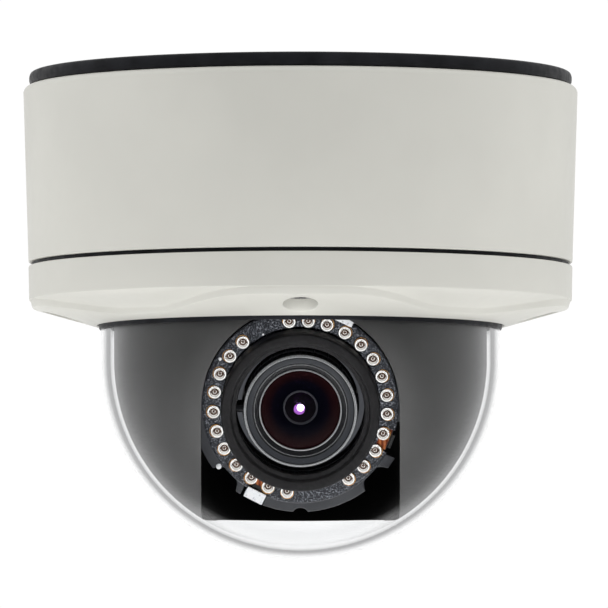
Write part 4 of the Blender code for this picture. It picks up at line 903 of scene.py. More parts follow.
# Light levels over the direction: from 0 at the front or below to 1 at the back or above.
LIGHT_FROM_FRONT_TO_BACK = [(0.0, 0.34), (0.15, 0.62), (0.5, 1.22), (1.0, 1.22)]
LIGHT_FROM_BELOW_TO_ABOVE = [(0.0, 1.12), (0.5, 1.05), (0.75, 1.28), (1.0, 1.36)]
OUTSIDE_FRONT_TO_BACK = [
    (0.0, 0.0),
    (0.28, 0.012),
    (0.42, 0.16),
    (0.62, 0.27),
    (0.75, 0.34),
    (0.88, 0.60),
    (0.93, 0.45),
    (0.96, 0.41),
    (0.984, 1.12),
    (1.0, 1.18),
]
OUTSIDE_BELOW_TO_ABOVE = [(0.0, 0.03), (0.12, 0.05), (0.36, 0.9), (0.5, 1.0), (1.0, 1.0)]
INSIDE_FRONT_TO_BACK = [(0.0, 0.0), (0.08, 0.02), (0.18, 1.0), (0.5, 1.0), (1.0, 1.0)]

MADE_BY_HAND = (
    powder_coat, rubber, clear_plastic, lamp_resin, liner_paint, fleck_texture, lens_black,
    lens_band, bright_edge, inner_glass, pupil_glass, front_glass, copper_film, circuit_board,
    floor_paint,
)
FINISHES = {build.__name__: build for build in MADE_BY_HAND}


def numbered(word, count=4):
    return [f"{word}_{n + 1}" for n in range(count)]


CARRIED_OVER = {
    "rubber": ["cable_grommet", "cover_seal"],
    "black_plastic": [
        *("dome_clamp_ring", "module_case", "rear_cover", "lens_mount"),
        *("filter_unit", "image_sensor"),
    ],
    # The parts behind the liner take black nylon darkened further as painted shade.
    "inner_black": ["pan_base", "pan_ring", "tilt_yoke", "tilt_cradle"],
    "steel": [
        *numbered("clamp_screw"),
        *("chassis_plate", *numbered("chassis_screw"), *numbered("board_standoff")),
        *("tilt_screw_left", "tilt_screw_right", "roll_retainer"),
    ],
    "circuit_board": ["main_board", "sensor_board"],
    "bare_aluminium": ["network_jack", "heat_sink"],
    "terminal_green": ["terminal_block"],
    "lens_black": ["lens_barrel"],
    "inner_glass": ["rear_element", "zoom_group", "infrared_filter"],
}


# ---- Shapes of the cover ring ------------------------------------------------------------------

TRIM_RADIUS = TRIM_HIGH.x
FACE_OUTER_RADIUS = TRIM_RADIUS - 1.2 * MM
WALL_END = SEAM_HEIGHT - 9.2 * MM
FACE_OUTER = WALL_END - 2.1 * MM
FACE_INNER = TRIM_LOW.z


def smooth_step(value):
    value = min(max(value, 0.0), 1.0)
    return value * value * (3.0 - 2.0 * value)


SCREW_SPOTS = spots_on(SCREW_CIRCLE, QUARTERS)
FIXING_SPOTS = spots_on(FIXING_CIRCLE, DIAGONALS)
BORE_FACETS = 96
BORE_STRETCH = 1.22  # the bores are longer outwards, as they leave the sloping face


# ---- Operators: one for each piece or group of like pieces --------------------------------------


class DOMECAM_OT_hidden_parts(bpy.types.Operator):
    """Give the parts inside their finishes"""

    bl_idname = "domecam.hidden_parts"
    bl_label = "Finish the parts inside"

    def execute(self, context):
        for finish, names in CARRIED_OVER.items():
            for name in names:
                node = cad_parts[name]
                node.data.materials.clear()
                node.data.materials.append(finish_of(finish))
        return {"FINISHED"}


class DOMECAM_OT_gasket(bpy.types.Operator):
    """Build the rubber gasket between the housing and the ceiling"""

    bl_idname = "domecam.gasket"
    bl_label = "Gasket"

    def execute(self, context):
        radius = GASKET_HIGH.x / MM
        low = GASKET_LOW.z / MM
        corners = [(0.0, 0.0), (20.0, 0.0)]
        for groove in (24.0, 34.0, 62.0, 66.0):
            corners += [
                (groove, 0.0, 0.2),
                (groove + 0.3, -0.6, 0.2),
                (groove + 1.5, -0.6, 0.2),
                (groove + 1.8, 0.0, 0.2),
            ]
        corners += [
            (radius - 0.7, 0.0, 0.5),
            (radius, -0.9, 0.6),
            (radius, low + 0.9, 0.3),
            (radius - 0.25, low + 0.45, 0.2),
            (radius - 0.25, low, 0.1),
            (0.0, low),
        ]
        gasket = turned_piece("gasket", corners, 4, 192, "rubber")
        through = low * MM * 2.0, 0.002
        holes = rods(0.0100, *through, [CABLE_ENTRY], 64)
        rods(FIXING_HOLE_RADIUS, *through, FIXING_SPOTS, 32, holes)
        cut(gasket, holes)
        smooth_sides(gasket)
        hang(gasket, "fixed_housing", ["mounting_gasket"])
        return {"FINISHED"}


class DOMECAM_OT_housing(bpy.types.Operator):
    """Build the die-cast housing"""

    bl_idname = "domecam.housing"
    bl_label = "Housing"

    def execute(self, context):
        cover = context.scene.domecam_cover
        top = HOUSING_HIGH.z / MM
        rim = HOUSING_LOW.z / MM
        top_radius = HOUSING_HIGH.x / MM
        rim_radius = TRIM_RADIUS / MM
        edge = cover.edge_round / MM
        corners = [
            (0.0, top),
            (top_radius, top, edge),
            (rim_radius, rim, 0.35),
            (rim_radius - 4.0, rim, 0.3),
            (rim_radius - 4.0, rim + 6.0, 0.5),
            (rim_radius - 2.9, rim + 7.0, 0.5),
            (top_radius - 3.0, top - 3.0, 1.2),
            (0.0, top - 3.0),
        ]
        housing = turned_piece("housing_shell", corners, 8, 256)
        posts = rods(BOSS_RADIUS, (rim + 0.3) * MM, (top - 1.5) * MM, SCREW_SPOTS, 48)
        cut(housing, posts, "UNION")
        through = (top - 5.0) * MM, (top + 1.0) * MM
        holes = rods(0.0080, *through, [CABLE_ENTRY], 64)
        rods(FIXING_HOLE_RADIUS, *through, FIXING_SPOTS, 32, holes)
        rods(SCREW_HOLE_RADIUS, (rim - 1.0) * MM, SCREW_HIGH.z + 0.001, SCREW_SPOTS, 32, holes)
        cut(housing, holes)
        refinished(housing, "powder_coat")
        hang(housing, "fixed_housing", ["housing"])
        return {"FINISHED"}


class DOMECAM_OT_cover_ring(bpy.types.Operator):
    """Build the screwed cover ring with its bosses, scoops and counterbores"""

    bl_idname = "domecam.cover_ring"
    bl_label = "Cover ring"

    def execute(self, context):
        slope = context.scene.domecam_cover.scoop_slope
        mouth = 54.5 * MM
        scoop_inner = 59.8 * MM
        face_slope = (FACE_OUTER - FACE_INNER) / (FACE_OUTER_RADIUS - mouth)
        seam = SEAM_HEIGHT

        def face(radius):
            return FACE_OUTER - (FACE_OUTER_RADIUS - radius) * face_slope

        def section(angle):
            quarter = math.tau / 4.0
            off = abs((angle + quarter / 2.0) % quarter - quarter / 2.0)
            share = smooth_step((math.radians(40.0) - off) / math.radians(30.0))
            ridge = scoop_inner + (FACE_OUTER_RADIUS - scoop_inner) * share
            foot = ridge + 0.45 * MM
            wall_end_radius = TRIM_RADIUS - 0.2 * MM

            def scoop(radius):
                return WALL_END - (wall_end_radius - radius) * slope

            thirds = (2.0 * wall_end_radius + foot) / 3.0, (wall_end_radius + 2.0 * foot) / 3.0
            deep = min(1.0, (wall_end_radius - foot) / (6.0 * MM))
            corners = [
                (TRIM_RADIUS - 0.15 * MM, seam, 0.0),
                (TRIM_RADIUS, seam - 0.2 * MM, 0.1),
                (wall_end_radius, WALL_END, 0.32),
                *((radius, scoop(radius), 0.0) for radius in thirds),
                (foot + 0.2 * MM, scoop(foot), 0.2 + 0.25 * deep),
                (ridge, face(ridge), 0.25),
                (mouth + 0.5 * MM, face(mouth + 0.5 * MM), 0.45),
                (mouth, face(mouth) + 0.9 * MM, 0.3),
                (mouth, -64.8 * MM, 0.0),
                (57.7 * MM, -64.8 * MM, 0.0),
                (57.7 * MM, -61.2 * MM, 0.0),
                (69.5 * MM, -61.2 * MM, 0.0),
                (69.5 * MM, seam, 0.0),
            ]
            in_mm = [(r / MM, z / MM, rounding) for r, z, rounding in corners]
            return rounded(in_mm, 5)

        ring = made_of("cover_ring", swept(section, 384))
        seat = SCREW_HIGH.z - 22.2 * MM
        posts = rods(BOSS_RADIUS, -62.2 * MM, HOUSING_LOW.z - 0.3 * MM, SCREW_SPOTS, 48)
        cut(ring, posts, "UNION")
        cut(ring, rods(SCREW_HOLE_RADIUS, -70.0 * MM, -50.0 * MM, SCREW_SPOTS, 32))
        bores = bmesh.new()

        def level(centre, angle, radius, height_at):
            """One rim of a counterbore, which follows the face or lies flat."""
            made = []
            for n in range(BORE_FACETS):
                turn = math.tau * n / BORE_FACETS
                away = Vector((BORE_STRETCH * math.cos(turn), math.sin(turn))) * radius * MM
                spot = centre + Matrix.Rotation(angle, 2) @ away
                made.append(bores.verts.new((spot.x, spot.y, height_at(spot.length))))
            return made

        # Radius and height over the face, in millimetres: below the face, then the broken edge.
        lips = [(5.4, -0.9), (4.95, -0.20), (4.76, -0.02), (4.66, 0.08), (4.61, 0.22)]
        for angle, spot in zip(QUARTERS, SCREW_SPOTS):
            centre = Vector(spot)
            levels = [
                level(centre, angle, radius, lambda far, rise=rise: face(far) + rise * MM)
                for radius, rise in lips
            ]
            levels.append(level(centre, angle, 4.6, lambda far: seat))
            for lower, upper in zip(levels, levels[1:]):
                for n in range(BORE_FACETS):
                    m = (n + 1) % BORE_FACETS
                    bores.faces.new((lower[n], lower[m], upper[m], upper[n]))
            bores.faces.new(levels[0])
            bores.faces.new(levels[-1])
        cut(ring, bores)
        refinished(ring, "powder_coat", 32.0)
        hang(ring, "fixed_housing", ["trim_ring"])
        return {"FINISHED"}


class DOMECAM_OT_cover_screws(bpy.types.Operator):
    """Build the four tamper-resistant screws of the cover ring"""

    bl_idname = "domecam.cover_screws"
    bl_label = "Cover screws"

    def execute(self, context):
        bottom = SCREW_LOW.z / MM
        top = SCREW_HIGH.z / MM
        corners = [(0.0, top), (1.2, top, 0.2), (1.9, top - 0.8, 0.2)]
        for n in range(11):
            level = top - 1.6 - n * 0.9
            corners += [(1.9, level, 0.0), (1.62, level - 0.45, 0.0)]
        corners += [
            (1.75, bottom + 8.0, 0.0),
            (1.75, bottom + 2.5, 0.1),
            (3.85, bottom + 2.5, 0.2),
            (3.9, bottom + 1.9, 0.3),
            (3.1, bottom + 1.15, 0.7),
            (0.0, bottom + 1.1),
        ]
        part = turned_piece("part_cover_screws", corners, 4, 48)
        star = []
        for n in range(72):
            angle = math.tau * n / 72
            radius = 1.38 + 0.24 * math.cos(6.0 * angle)
            star.append((radius * MM * math.cos(angle), radius * MM * math.sin(angle)))
        cut(part, prism(star, (bottom + 0.5) * MM, (bottom + 2.2) * MM))
        pin = rods(0.00042, (bottom + 1.2) * MM, (bottom + 2.4) * MM, [(0.0, 0.0)], 16)
        cut(part, pin, "UNION")
        screws = arc_of_parts(
            "cover_screws", part, "steel", 4, SCREW_CIRCLE, 0.0, math.radians(90.0), spin=0.6
        )
        hang(screws, "fixed_housing", numbered("cover_screw"))
        return {"FINISHED"}


class DOMECAM_OT_bubble(bpy.types.Operator):
    """Build the clear bubble"""

    bl_idname = "domecam.bubble"
    bl_label = "Bubble"

    def execute(self, context):
        wall = context.scene.domecam_bubble.wall
        outer = BUBBLE_RADIUS
        centre = BUBBLE_LOW.z + outer
        inner = outer - wall
        flange = BUBBLE_HIGH.x
        top = BUBBLE_HIGH.z
        outline = [
            Vector((0.0, BUBBLE_LOW.z)),
            *reversed(arc(centre, outer, 0, -90, 48)[:-1]),
            Vector((outer, top - 2.9 * MM)),
            Vector((outer + 0.4 * MM, top - 2.5 * MM)),
            Vector((flange - 0.2 * MM, top - 2.5 * MM)),
            Vector((flange, top - 2.3 * MM)),
            Vector((flange, top - 0.2 * MM)),
            Vector((flange - 0.2 * MM, top)),
            Vector((inner + 0.2 * MM, top)),
            Vector((inner, top - 0.2 * MM)),
            *arc(centre, inner, 0, -90, 48)[:-1],
            Vector((0.0, centre - inner)),
        ]
        bubble = made_of("bubble", turned(outline, 192), "clear_plastic")
        hang(bubble, "fixed_housing", ["dome_bubble"])
        return {"FINISHED"}


class DOMECAM_OT_dome_seal(bpy.types.Operator):
    """Build the black seal around the bubble, with the lip that closes the cover ring's mouth"""

    bl_idname = "domecam.dome_seal"
    bl_label = "Bubble seal"

    def execute(self, context):
        low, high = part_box("dome_seal")
        corners = [
            (54.0, high.z / MM, 0.1),
            (high.x / MM, high.z / MM, 0.2),
            (high.x / MM, low.z / MM, 0.2),
            (54.42, low.z / MM, 0.1),
            (54.42, TRIM_LOW.z / MM - 0.55, 0.2),
            (54.0, TRIM_LOW.z / MM - 0.85, 0.1),
        ]
        seal = turned_piece("bubble_seal", corners, 4, 192, "rubber")
        hang(seal, "fixed_housing", ["dome_seal"])
        return {"FINISHED"}


class DOMECAM_OT_liner(bpy.types.Operator):
    """Build the dark liner with its arched slot"""

    bl_idname = "domecam.liner"
    bl_label = "Liner"

    def execute(self, context):
        wall = context.scene.domecam_bubble.liner_wall
        outer = LINER_HIGH.x
        inner = outer - wall
        centre = BUBBLE_LOW.z + BUBBLE_RADIUS
        bottom = LINER_LOW.z
        outer_end = math.degrees(math.asin((bottom - centre) / outer))
        inner_end = math.degrees(math.asin((bottom - centre) / inner))
        outline = [
            Vector((outer, LINER_HIGH.z)),
            *arc(centre, outer, 0, outer_end, 36),
            *reversed(arc(centre, inner, 0, inner_end, 36)),
            Vector((inner, LINER_HIGH.z)),
        ]
        liner = made_of("liner", turned(outline, 240))
        half = 26.1 * MM
        arch_centre = PIVOT_HEIGHT - 6.2 * MM
        slot = [(half, bottom - 0.01), (-half, bottom - 0.01)]
        for n in range(65):
            angle = math.pi * (1.0 - n / 64)
            slot.append((half * math.cos(angle), arch_centre + half * math.sin(angle)))
        tool = prism(slot, 0.0, 0.07)
        upright = Matrix.Rotation(math.radians(90.0), 4, "X")
        bmesh.ops.transform(tool, verts=tool.verts, matrix=upright)
        cut(liner, tool)
        # Marks the faces turned into the hollow; the liner paint turns them near-black as painted
        # shade.
        inside = liner.data.attributes.new("inside", "FLOAT", "CORNER")
        middle = Vector((0.0, 0.0, centre))
        for side in liner.data.polygons:
            towards = middle - side.center
            if side.center.z >= centre:
                towards.z = 0.0
            painted_shade_side = 1.0 if side.normal.dot(towards.normalized()) > 0.3 else 0.0
            for corner in side.loop_indices:
                inside.data[corner].value = painted_shade_side
        refinished(liner, "liner_paint")
        hang(liner, "pan_carriage", ["dome_liner"])
        return {"FINISHED"}


def block_at(bm, angle, width, radii, levels, edge=0.0):
    """A box in millimetres about the lens axis, its middle at that angle clockwise from the top."""
    low = Vector((-width / 2.0, radii[0], levels[0])) * MM
    high = Vector((width / 2.0, radii[1], levels[1])) * MM
    return block(bm, low, high, edge * MM, clockwise(math.radians(angle)))


def notched(radius_mm, angle):
    """Rim of the roll ring in millimetres at an angle from local +X."""
    quarter = math.tau / 4.0
    radius = radius_mm
    for size, start in ((4.5, quarter / 2.0), (2.4, 0.0)):
        away = (angle - start + quarter / 2.0) % quarter - quarter / 2.0
        across = (radius_mm + 1.3) * math.sin(away)
        if abs(across) < size:
            near = (radius_mm + 1.3) * math.cos(away) - math.sqrt(size**2 - across**2)
            radius = min(radius, near)
    return radius


class DOMECAM_OT_roll_ring(bpy.types.Operator):
    """Build the notched ring that turns the module about its lens"""

    bl_idname = "domecam.roll_ring"
    bl_label = "Roll ring"

    def execute(self, context):
        def section(angle):
            rim = notched(29.0, angle)
            corners = [(15.6, 20.3, 0.2), (rim, 20.3, 0.3), (rim, 22.3, 0.35), (15.6, 22.3, 0.2)]
            return rounded(corners, 3)

        ring = made_of("roll_ring_moulding", swept(section, 720))
        gaps = bmesh.new()
        for middle, width in ((207.0, 6.6), (110.5, 9.5)):
            block_at(gaps, middle, width, (25.0, 32.0), (19.0, 24.0))
        cut(ring, gaps)
        refinished(ring, "satin_grey")
        hang_in_module(ring, "camera_module", ["roll_ring"])
        return {"FINISHED"}


SENSOR_ANGLE = 111.5


def lamp_arcs(lamps):
    """Name, count, first angle and step of each arc, clockwise from the top."""
    return (
        ("first", lamps.first_count, math.radians(352.4), math.radians(12.84)),
        ("second", lamps.second_count, math.radians(188.7), math.radians(13.0)),
    )


class DOMECAM_OT_lamp_plate(bpy.types.Operator):
    """Build the textured plate around the lamps"""

    bl_idname = "domecam.lamp_plate"
    bl_label = "Lamp plate"

    def execute(self, context):
        lamps = context.scene.domecam_lamps
        corners = [
            (17.5, 24.1, 0.1),
            (26.1, 24.1, 0.2),
            (26.1, 25.6, 0.5),
            (25.3, 26.0, 0.4),
            (17.5, 26.0, 0.2),
        ]
        plate = turned_piece("lamp_plate_moulding", corners, 4, 288)
        holes = bmesh.new()
        for _, count, first, step in lamp_arcs(lamps):
            for n in range(count):
                angle = first + n * step
                at = (lamps.circle * math.sin(angle), lamps.circle * math.cos(angle))
                rod(holes, lamps.radius + 0.32 * MM, 0.023, 0.028, at, 32)
        cut(plate, holes)
        gaps = bmesh.new()
        block_at(gaps, 206.6, 6.0, (21.8, 28.0), (23.0, 28.0))
        block_at(gaps, SENSOR_ANGLE, 6.2, (22.4, 28.0), (23.0, 28.0))
        cut(plate, gaps)
        refinished(plate, "fleck_texture")
        tilt_into_place(plate)
        hang(plate, "camera_module", ["lamp_plate"])
        return {"FINISHED"}


class DOMECAM_OT_lamps(bpy.types.Operator):
    """Build the infrared lamps: mirror bowl, chip, amber seat and clear tip"""

    bl_idname = "domecam.lamps"
    bl_label = "Infrared lamps"

    def execute(self, context):
        lamps = context.scene.domecam_lamps
        size = lamps.radius / MM
        cup = [
            *((0.0, 0.55), (0.30 * size, 0.55, 0.1), (0.62 * size, 1.15, 0.15)),
            *((0.93 * size, 1.75, 0.1), (size, 1.80, 0.08), (size, 0.0, 0.1), (0.0, 0.0)),
        ]
        tip = [(0.0, 0.70), (0.40 * size, 0.85), (0.80 * size, 1.40)]
        for degrees in range(0, 90, 10):
            lift = math.radians(degrees)
            tip.append((0.86 * size * math.cos(lift), 1.45 + 1.05 * math.sin(lift)))
        tip.append((0.0, 2.50))
        chip_frame = [
            *((0.36, 0.5, 0.0), (0.66, 0.5, 0.05), (0.66, 0.98, 0.1)),
            *((0.46, 0.78, 0.1), (0.36, 0.78, 0.05)),
        ]
        half_chip = 0.21 * MM
        seat = [
            *((0.95 * size, 0.9, 0.05), (1.08 * size, 0.9, 0.05)),
            *((1.08 * size, 1.25, 0.1), (0.95 * size, 1.25, 0.1)),
        ]

        def chip_bm():
            bm = turned(rounded(chip_frame, 2), 20)
            return block(
                bm, (-half_chip, -half_chip, 0.5 * MM), (half_chip, half_chip, 0.82 * MM)
            )

        def seat_bm():
            bm = turned(rounded(seat, 2), 28)
            bmesh.ops.translate(bm, verts=bm.verts, vec=(0.0, 0.00026, 0.0))
            return bm

        parts = (
            ("lamp_bowls", lambda: turned(rounded(cup, 3), 28), "mirror_cup", "lens_glass"),
            ("lamp_tips", lambda: turned(rounded(tip, 3), 28), "lamp_resin", "lens_glass"),
            ("lamp_chips", chip_bm, "lamp_chip", "black_plastic"),
            ("lamp_seats", seat_bm, "amber_seat", "flex_film"),
        )
        board = [(19.5, 22.6, 0.1), (25.6, 22.6, 0.1), (25.6, 23.8, 0.1), (19.5, 23.8, 0.1)]
        disc = turned_piece("lamp_disc", board, 2, 128, "black_plastic")
        hang_in_module(disc, "camera_module", ["lamp_board"])
        for arc_name, count, first, step in lamp_arcs(lamps):
            for part_name, build, finish, slot in parts:
                name = f"{part_name}_{arc_name}"
                part = made_of("part_" + name, build())
                sizes = (lamps.circle, first, step, 24.75 * MM, 0.006, 0.5)
                made = arc_of_parts(name, part, finish, count, *sizes)
                hang_in_module(made, "camera_module", ())
        return {"FINISHED"}


class DOMECAM_OT_clips(bpy.types.Operator):
    """Build the two bright clips, the light sensor and the brown film"""

    bl_idname = "domecam.clips"
    bl_label = "Clips and film"

    def execute(self, context):
        for number, angle in ((1, 26.0), (2, 207.0)):
            bm = bmesh.new()
            block_at(bm, angle, 5.4, (25.2, 28.0), (26.3, 27.1), 0.15)
            block_at(bm, angle, 5.2, (26.45, 27.9), (22.7, 26.25), 0.15)
            clip = made_of(f"clip_{number}", bm, "plated")
            hang_in_module(clip, "camera_module", [f"lamp_clip_{number}"])
        film = bmesh.new()
        block_at(film, 206.6, 5.4, (21.9, 24.2), (23.95, 24.2), 0.06)
        block_at(film, SENSOR_ANGLE, 5.8, (22.5, 25.2), (23.95, 24.2), 0.06)
        strip = made_of("film_strips", film, "copper_film")
        hang_in_module(strip, "camera_module", ["lamp_flex"])
        small = bmesh.new()
        block_at(small, SENSOR_ANGLE, 3.8, (25.5, 26.3), (24.0, 25.5), 0.1)
        turn = clockwise(math.radians(SENSOR_ANGLE))
        stud = (-0.9 * MM, 24.9 * MM, 24.2 * MM), (-0.2 * MM, 25.4 * MM, 24.7 * MM)
        block(small, *stud, 0.08 * MM, turn)
        sensor = made_of("light_sensor_body", small, "black_plastic")
        hang_in_module(sensor, "camera_module", ["light_sensor"])
        spots = bmesh.new()
        for angle, radius, size in ((301.0, 24.9, 0.45), (232.5, 27.4, 0.75), (333.0, 21.8, 0.28)):
            place = clockwise(math.radians(angle)) @ Matrix.Translation((0.0, radius * MM, 0.0))
            low = 22.4 if radius > 26.2 else 26.05
            corners = [
                *((0.0, low + 0.45), (size, low + 0.3, 0.15)),
                *((size, low - 0.3, 0.05), (0.0, low - 0.3)),
            ]
            mesh = settled(turned(rounded(corners, 3), 24), "dot")
            mesh.transform(place)
            spots.from_mesh(mesh)
            bpy.data.meshes.remove(mesh)
        pins = made_of("chrome_pins", spots, "plated")
        hang_in_module(pins, "camera_module", ())
        return {"FINISHED"}


class DOMECAM_OT_hood(bpy.types.Operator):
    """Build the rubber hood between the lamps and the lens"""

    bl_idname = "domecam.hood"
    bl_label = "Lens hood"

    def execute(self, context):
        corners = [
            (19.5, 26.3, 0.1),
            (21.0, 26.3, 0.2),
            (21.0, 36.0, 0.55),
            (18.5, 36.0, 0.35),
            (18.2, 33.6, 0.25),
            (17.1, 33.4, 0.2),
            (16.9, 31.6, 0.2),
            (19.5, 31.2, 0.2),
        ]
        hood = turned_piece("hood", corners, 6, 192, "hood_rubber")
        hang_in_module(hood, "camera_module", ["lens_baffle"])
        return {"FINISHED"}


class DOMECAM_OT_lens_front(bpy.types.Operator):
    """Build the lens front with its bright edges and coated glass"""

    bl_idname = "domecam.lens_front"
    bl_label = "Lens front"

    def execute(self, context):
        lens = context.scene.domecam_lens
        rim = lens.front_radius / MM
        glass = lens.glass_radius / MM
        barrel = [
            (10.9, 24.0, 0.1),
            (13.0, 24.0, 0.2),
            (13.0, 32.4, 0.1),
            (rim - 0.1, 32.4, 0.1),
            (rim - 0.1, 33.0, 0.0),
            (rim - 0.75, 33.28, 0.0),
            (14.25, 33.0, 0.05),
            (12.55, 32.5, 0.05),
            (12.45, 31.7, 0.1),
            (11.25, 31.5, 0.1),
            (11.15, 31.0, 0.1),
            (10.95, 31.0, 0.05),
        ]
        body = turned_piece("front_barrel_body", barrel, 4, 144, "lens_black")
        hang_in_module(body, "focus_optics", ["front_barrel"])

        edges = bmesh.new()
        outer_edge = [
            *((rim - 0.5, 32.95, 0.0), (rim, 32.85, 0.2), (rim, 33.12, 0.3)),
            *((rim - 0.42, 33.42, 0.25), (rim - 0.78, 33.3, 0.1)),
        ]
        turned(rounded(outer_edge, 5), 192, edges)
        step_edge = [
            *((12.20, 31.75, 0.0), (12.36, 31.75, 0.0)),
            *((12.36, 32.28, 0.06), (12.20, 32.28, 0.06)),
        ]
        turned(rounded(step_edge, 3), 160, edges)
        glass_edge = [
            *((glass + 0.05, 31.3, 0.0), (glass + 0.42, 31.3, 0.0)),
            *((glass + 0.42, 31.72, 0.08), (glass + 0.05, 31.80, 0.12)),
        ]
        turned(rounded(glass_edge, 3), 160, edges)
        bright = made_of("bright_edges", edges, "bright_edge")
        hang_in_module(bright, "focus_optics", ())

        band = [
            *((12.72, 32.62, 0.05), (14.12, 33.02, 0.05)),
            *((14.12, 33.14, 0.1), (12.72, 32.74, 0.1)),
        ]
        cone = [
            *((glass - 0.02, 31.2, 0.0), (10.2, 30.6, 0.3), (7.9, 28.9, 0.8)),
            *((5.0, 27.6, 0.4), (4.55, 27.5, 0.0), (4.55, 26.5, 0.0), (glass - 0.02, 26.5, 0.0)),
        ]
        ring = [(4.02, 26.6, 0.0), (4.5, 26.6, 0.0), (4.5, 27.45, 0.15), (4.02, 27.25, 0.12)]
        for name, corners, steps, facets, finish, slot in (
            ("grey_band", band, 3, 160, "lens_band", "black_plastic"),
            ("coated_cone", cone, 6, 144, "inner_glass", "lens_glass"),
            ("pupil_ring", ring, 4, 96, "lens_band", "black_plastic"),
        ):
            piece = turned_piece(name, corners, steps, facets, finish)
            hang_in_module(piece, "focus_optics", ())

        def crowned(radius, crown, height, steps):
            """Points in millimetres of a face that is highest on the axis, from there outwards."""
            radii = [radius * n / steps for n in range(steps + 1)]
            return [(r, height - crown + math.sqrt(crown**2 - r**2)) for r in radii]

        pupil_outline = [(0.0, 25.6), (3.95, 25.6), *reversed(crowned(3.95, 60.0, 27.1, 12))]
        front_face = crowned(glass - 0.05, 38.0, 32.35, 16)
        flat_back = [(radius, 30.55) for radius, _ in reversed(front_face)]
        for name, outline, facets, stands_for, finish in (
            ("pupil", pupil_outline, 96, (), "pupil_glass"),
            ("front_glass_lens", front_face + flat_back, 128, ["front_element"], "front_glass"),
        ):
            points = [Vector(point) * MM for point in outline]
            piece = made_of(name, turned(points, facets), finish)
            hang_in_module(piece, "focus_optics", stands_for)
        return {"FINISHED"}


class DOMECAM_OT_lens_rings(bpy.types.Operator):
    """Build the zoom and focus rings with their grip ribs and thumb knobs"""

    bl_idname = "domecam.lens_rings"
    bl_label = "Zoom and focus rings"

    def execute(self, context):
        lens = context.scene.domecam_lens
        rim = lens.front_radius / MM
        rings = (
            ("zoom", "zoom_ring", "zoom_control", 12.9, 6.0, 13.4, 90.0),
            ("focus", "focus_ring", "focus_control", 13.6, 26.4, 31.8, 270.0),
        )
        for word, node, body, inner, low, high, knob_angle in rings:
            corners = [
                (inner, low, 0.1),
                (rim, low, 0.25),
                (rim, low + 1.2, 0.1),
                (rim - 0.35, low + 1.35, 0.1),
                (rim - 0.35, high - 1.35, 0.1),
                (rim, high - 1.2, 0.1),
                (rim, high, 0.25),
                (inner, high, 0.1),
            ]
            collar = turned_piece(f"{word}_collar", corners, 3, 128, "black_plastic")
            rib = block(
                bmesh.new(),
                (-0.28 * MM, -0.30 * MM, 0.0),
                (0.28 * MM, 0.20 * MM, (high - low - 2.8) * MM),
                0.08 * MM,
            )
            ribs = arc_of_parts(
                f"{word}_ribs",
                made_of(f"part_{word}_rib", rib),
                "black_plastic",
                lens.ribs,
                (rim - 0.25) * MM,
                0.0,
                math.tau / lens.ribs,
                (low + 1.4) * MM,
            )
            profile = [
                *((0.0, 18.4), (1.15, 18.4, 0.35), (1.15, 17.9, 0.1)),
                *((0.95, 17.7, 0.1), (0.95, 14.4, 0.0), (0.0, 14.4)),
            ]
            knob = turned(rounded(profile, 3), 32)
            outwards = Matrix.Rotation(math.radians(-90.0), 4, "X")
            middle = Matrix.Translation((0.0, 0.0, (low + high) / 2.0 * MM))
            place = clockwise(math.radians(knob_angle)) @ middle @ outwards
            bmesh.ops.transform(knob, verts=knob.verts, matrix=place)
            thumb = made_of(f"{word}_knob", knob, "lens_black")
            for piece, stands_for, slot in (
                (collar, [node], "black_plastic"),
                (ribs, (), "black_plastic"),
                (thumb, (), "fastener_steel"),
            ):
                hang_in_module(piece, body, stands_for)
        return {"FINISHED"}


def light_the_world(tree):
    """Even studio light; mirrors see dark flags in front and below, and the backdrop is white."""
    background = tree.nodes["Background"]
    where = tree_node(tree, "ShaderNodeTexCoord").outputs["Generated"]
    path = tree_node(tree, "ShaderNodeLightPath").outputs

    def levels(factor, stops):
        ramp = tree_node(tree, "ShaderNodeValToRGB", None, {"Fac": factor})
        band = ramp.color_ramp
        band.elements[0].position, band.elements[1].position = stops[0][0], stops[-1][0]
        band.elements[0].color = (stops[0][1],) * 3 + (1.0,)
        band.elements[1].color = (stops[-1][1],) * 3 + (1.0,)
        for position, level in stops[1:-1]:
            band.elements.new(position).color = (level, level, level, 1.0)
        return ramp.outputs["Color"]

    def from_nought_to_one(direction):
        made = sums(tree, "MULTIPLY_ADD", direction, 0.5)
        made.node.inputs[2].default_value = 0.5
        return made

    def product(a, b):
        return sums(tree, "MULTIPLY", a, b)

    def larger(a, b):
        return sums(tree, "MAXIMUM", a, b)

    def mixed(factor, a, b):
        return tree_node(
            tree, "ShaderNodeMix", {"data_type": "FLOAT"}, {0: factor, 2: a, 3: b}
        ).outputs[0]

    split = tree_node(tree, "ShaderNodeSeparateXYZ", None, {0: where}).outputs
    backwards = from_nought_to_one(split["Y"])
    upwards = from_nought_to_one(split["Z"])
    lighting = product(
        levels(backwards, LIGHT_FROM_FRONT_TO_BACK), levels(upwards, LIGHT_FROM_BELOW_TO_ABOVE)
    )
    seen_back = levels(backwards, OUTSIDE_FRONT_TO_BACK)
    outside = product(seen_back, levels(upwards, OUTSIDE_BELOW_TO_ABOVE))
    lowest = spanned(tree, split["Z"], -0.5, -0.62)
    behind = spanned(tree, split["Y"], 0.60, 0.70)
    backdrop = product(larger(seen_back, lowest), behind)
    outside = larger(outside, backdrop)
    inside = larger(levels(backwards, INSIDE_FRONT_TO_BACK), backdrop)
    deep = sums(tree, "GREATER_THAN", path["Transmission Depth"], DEPTH_INSIDE_BUBBLE)
    mirrored = larger(path["Is Glossy Ray"], path["Is Transmission Ray"])
    mirrored = larger(mirrored, path["Is Singular Ray"])
    level = mixed(mirrored, lighting, mixed(deep, outside, inside))
    level = mixed(path["Is Camera Ray"], level, BACKDROP_LEVEL)
    tree.links.new(level, background.inputs["Color"])
    background.inputs["Strength"].default_value = 1.0


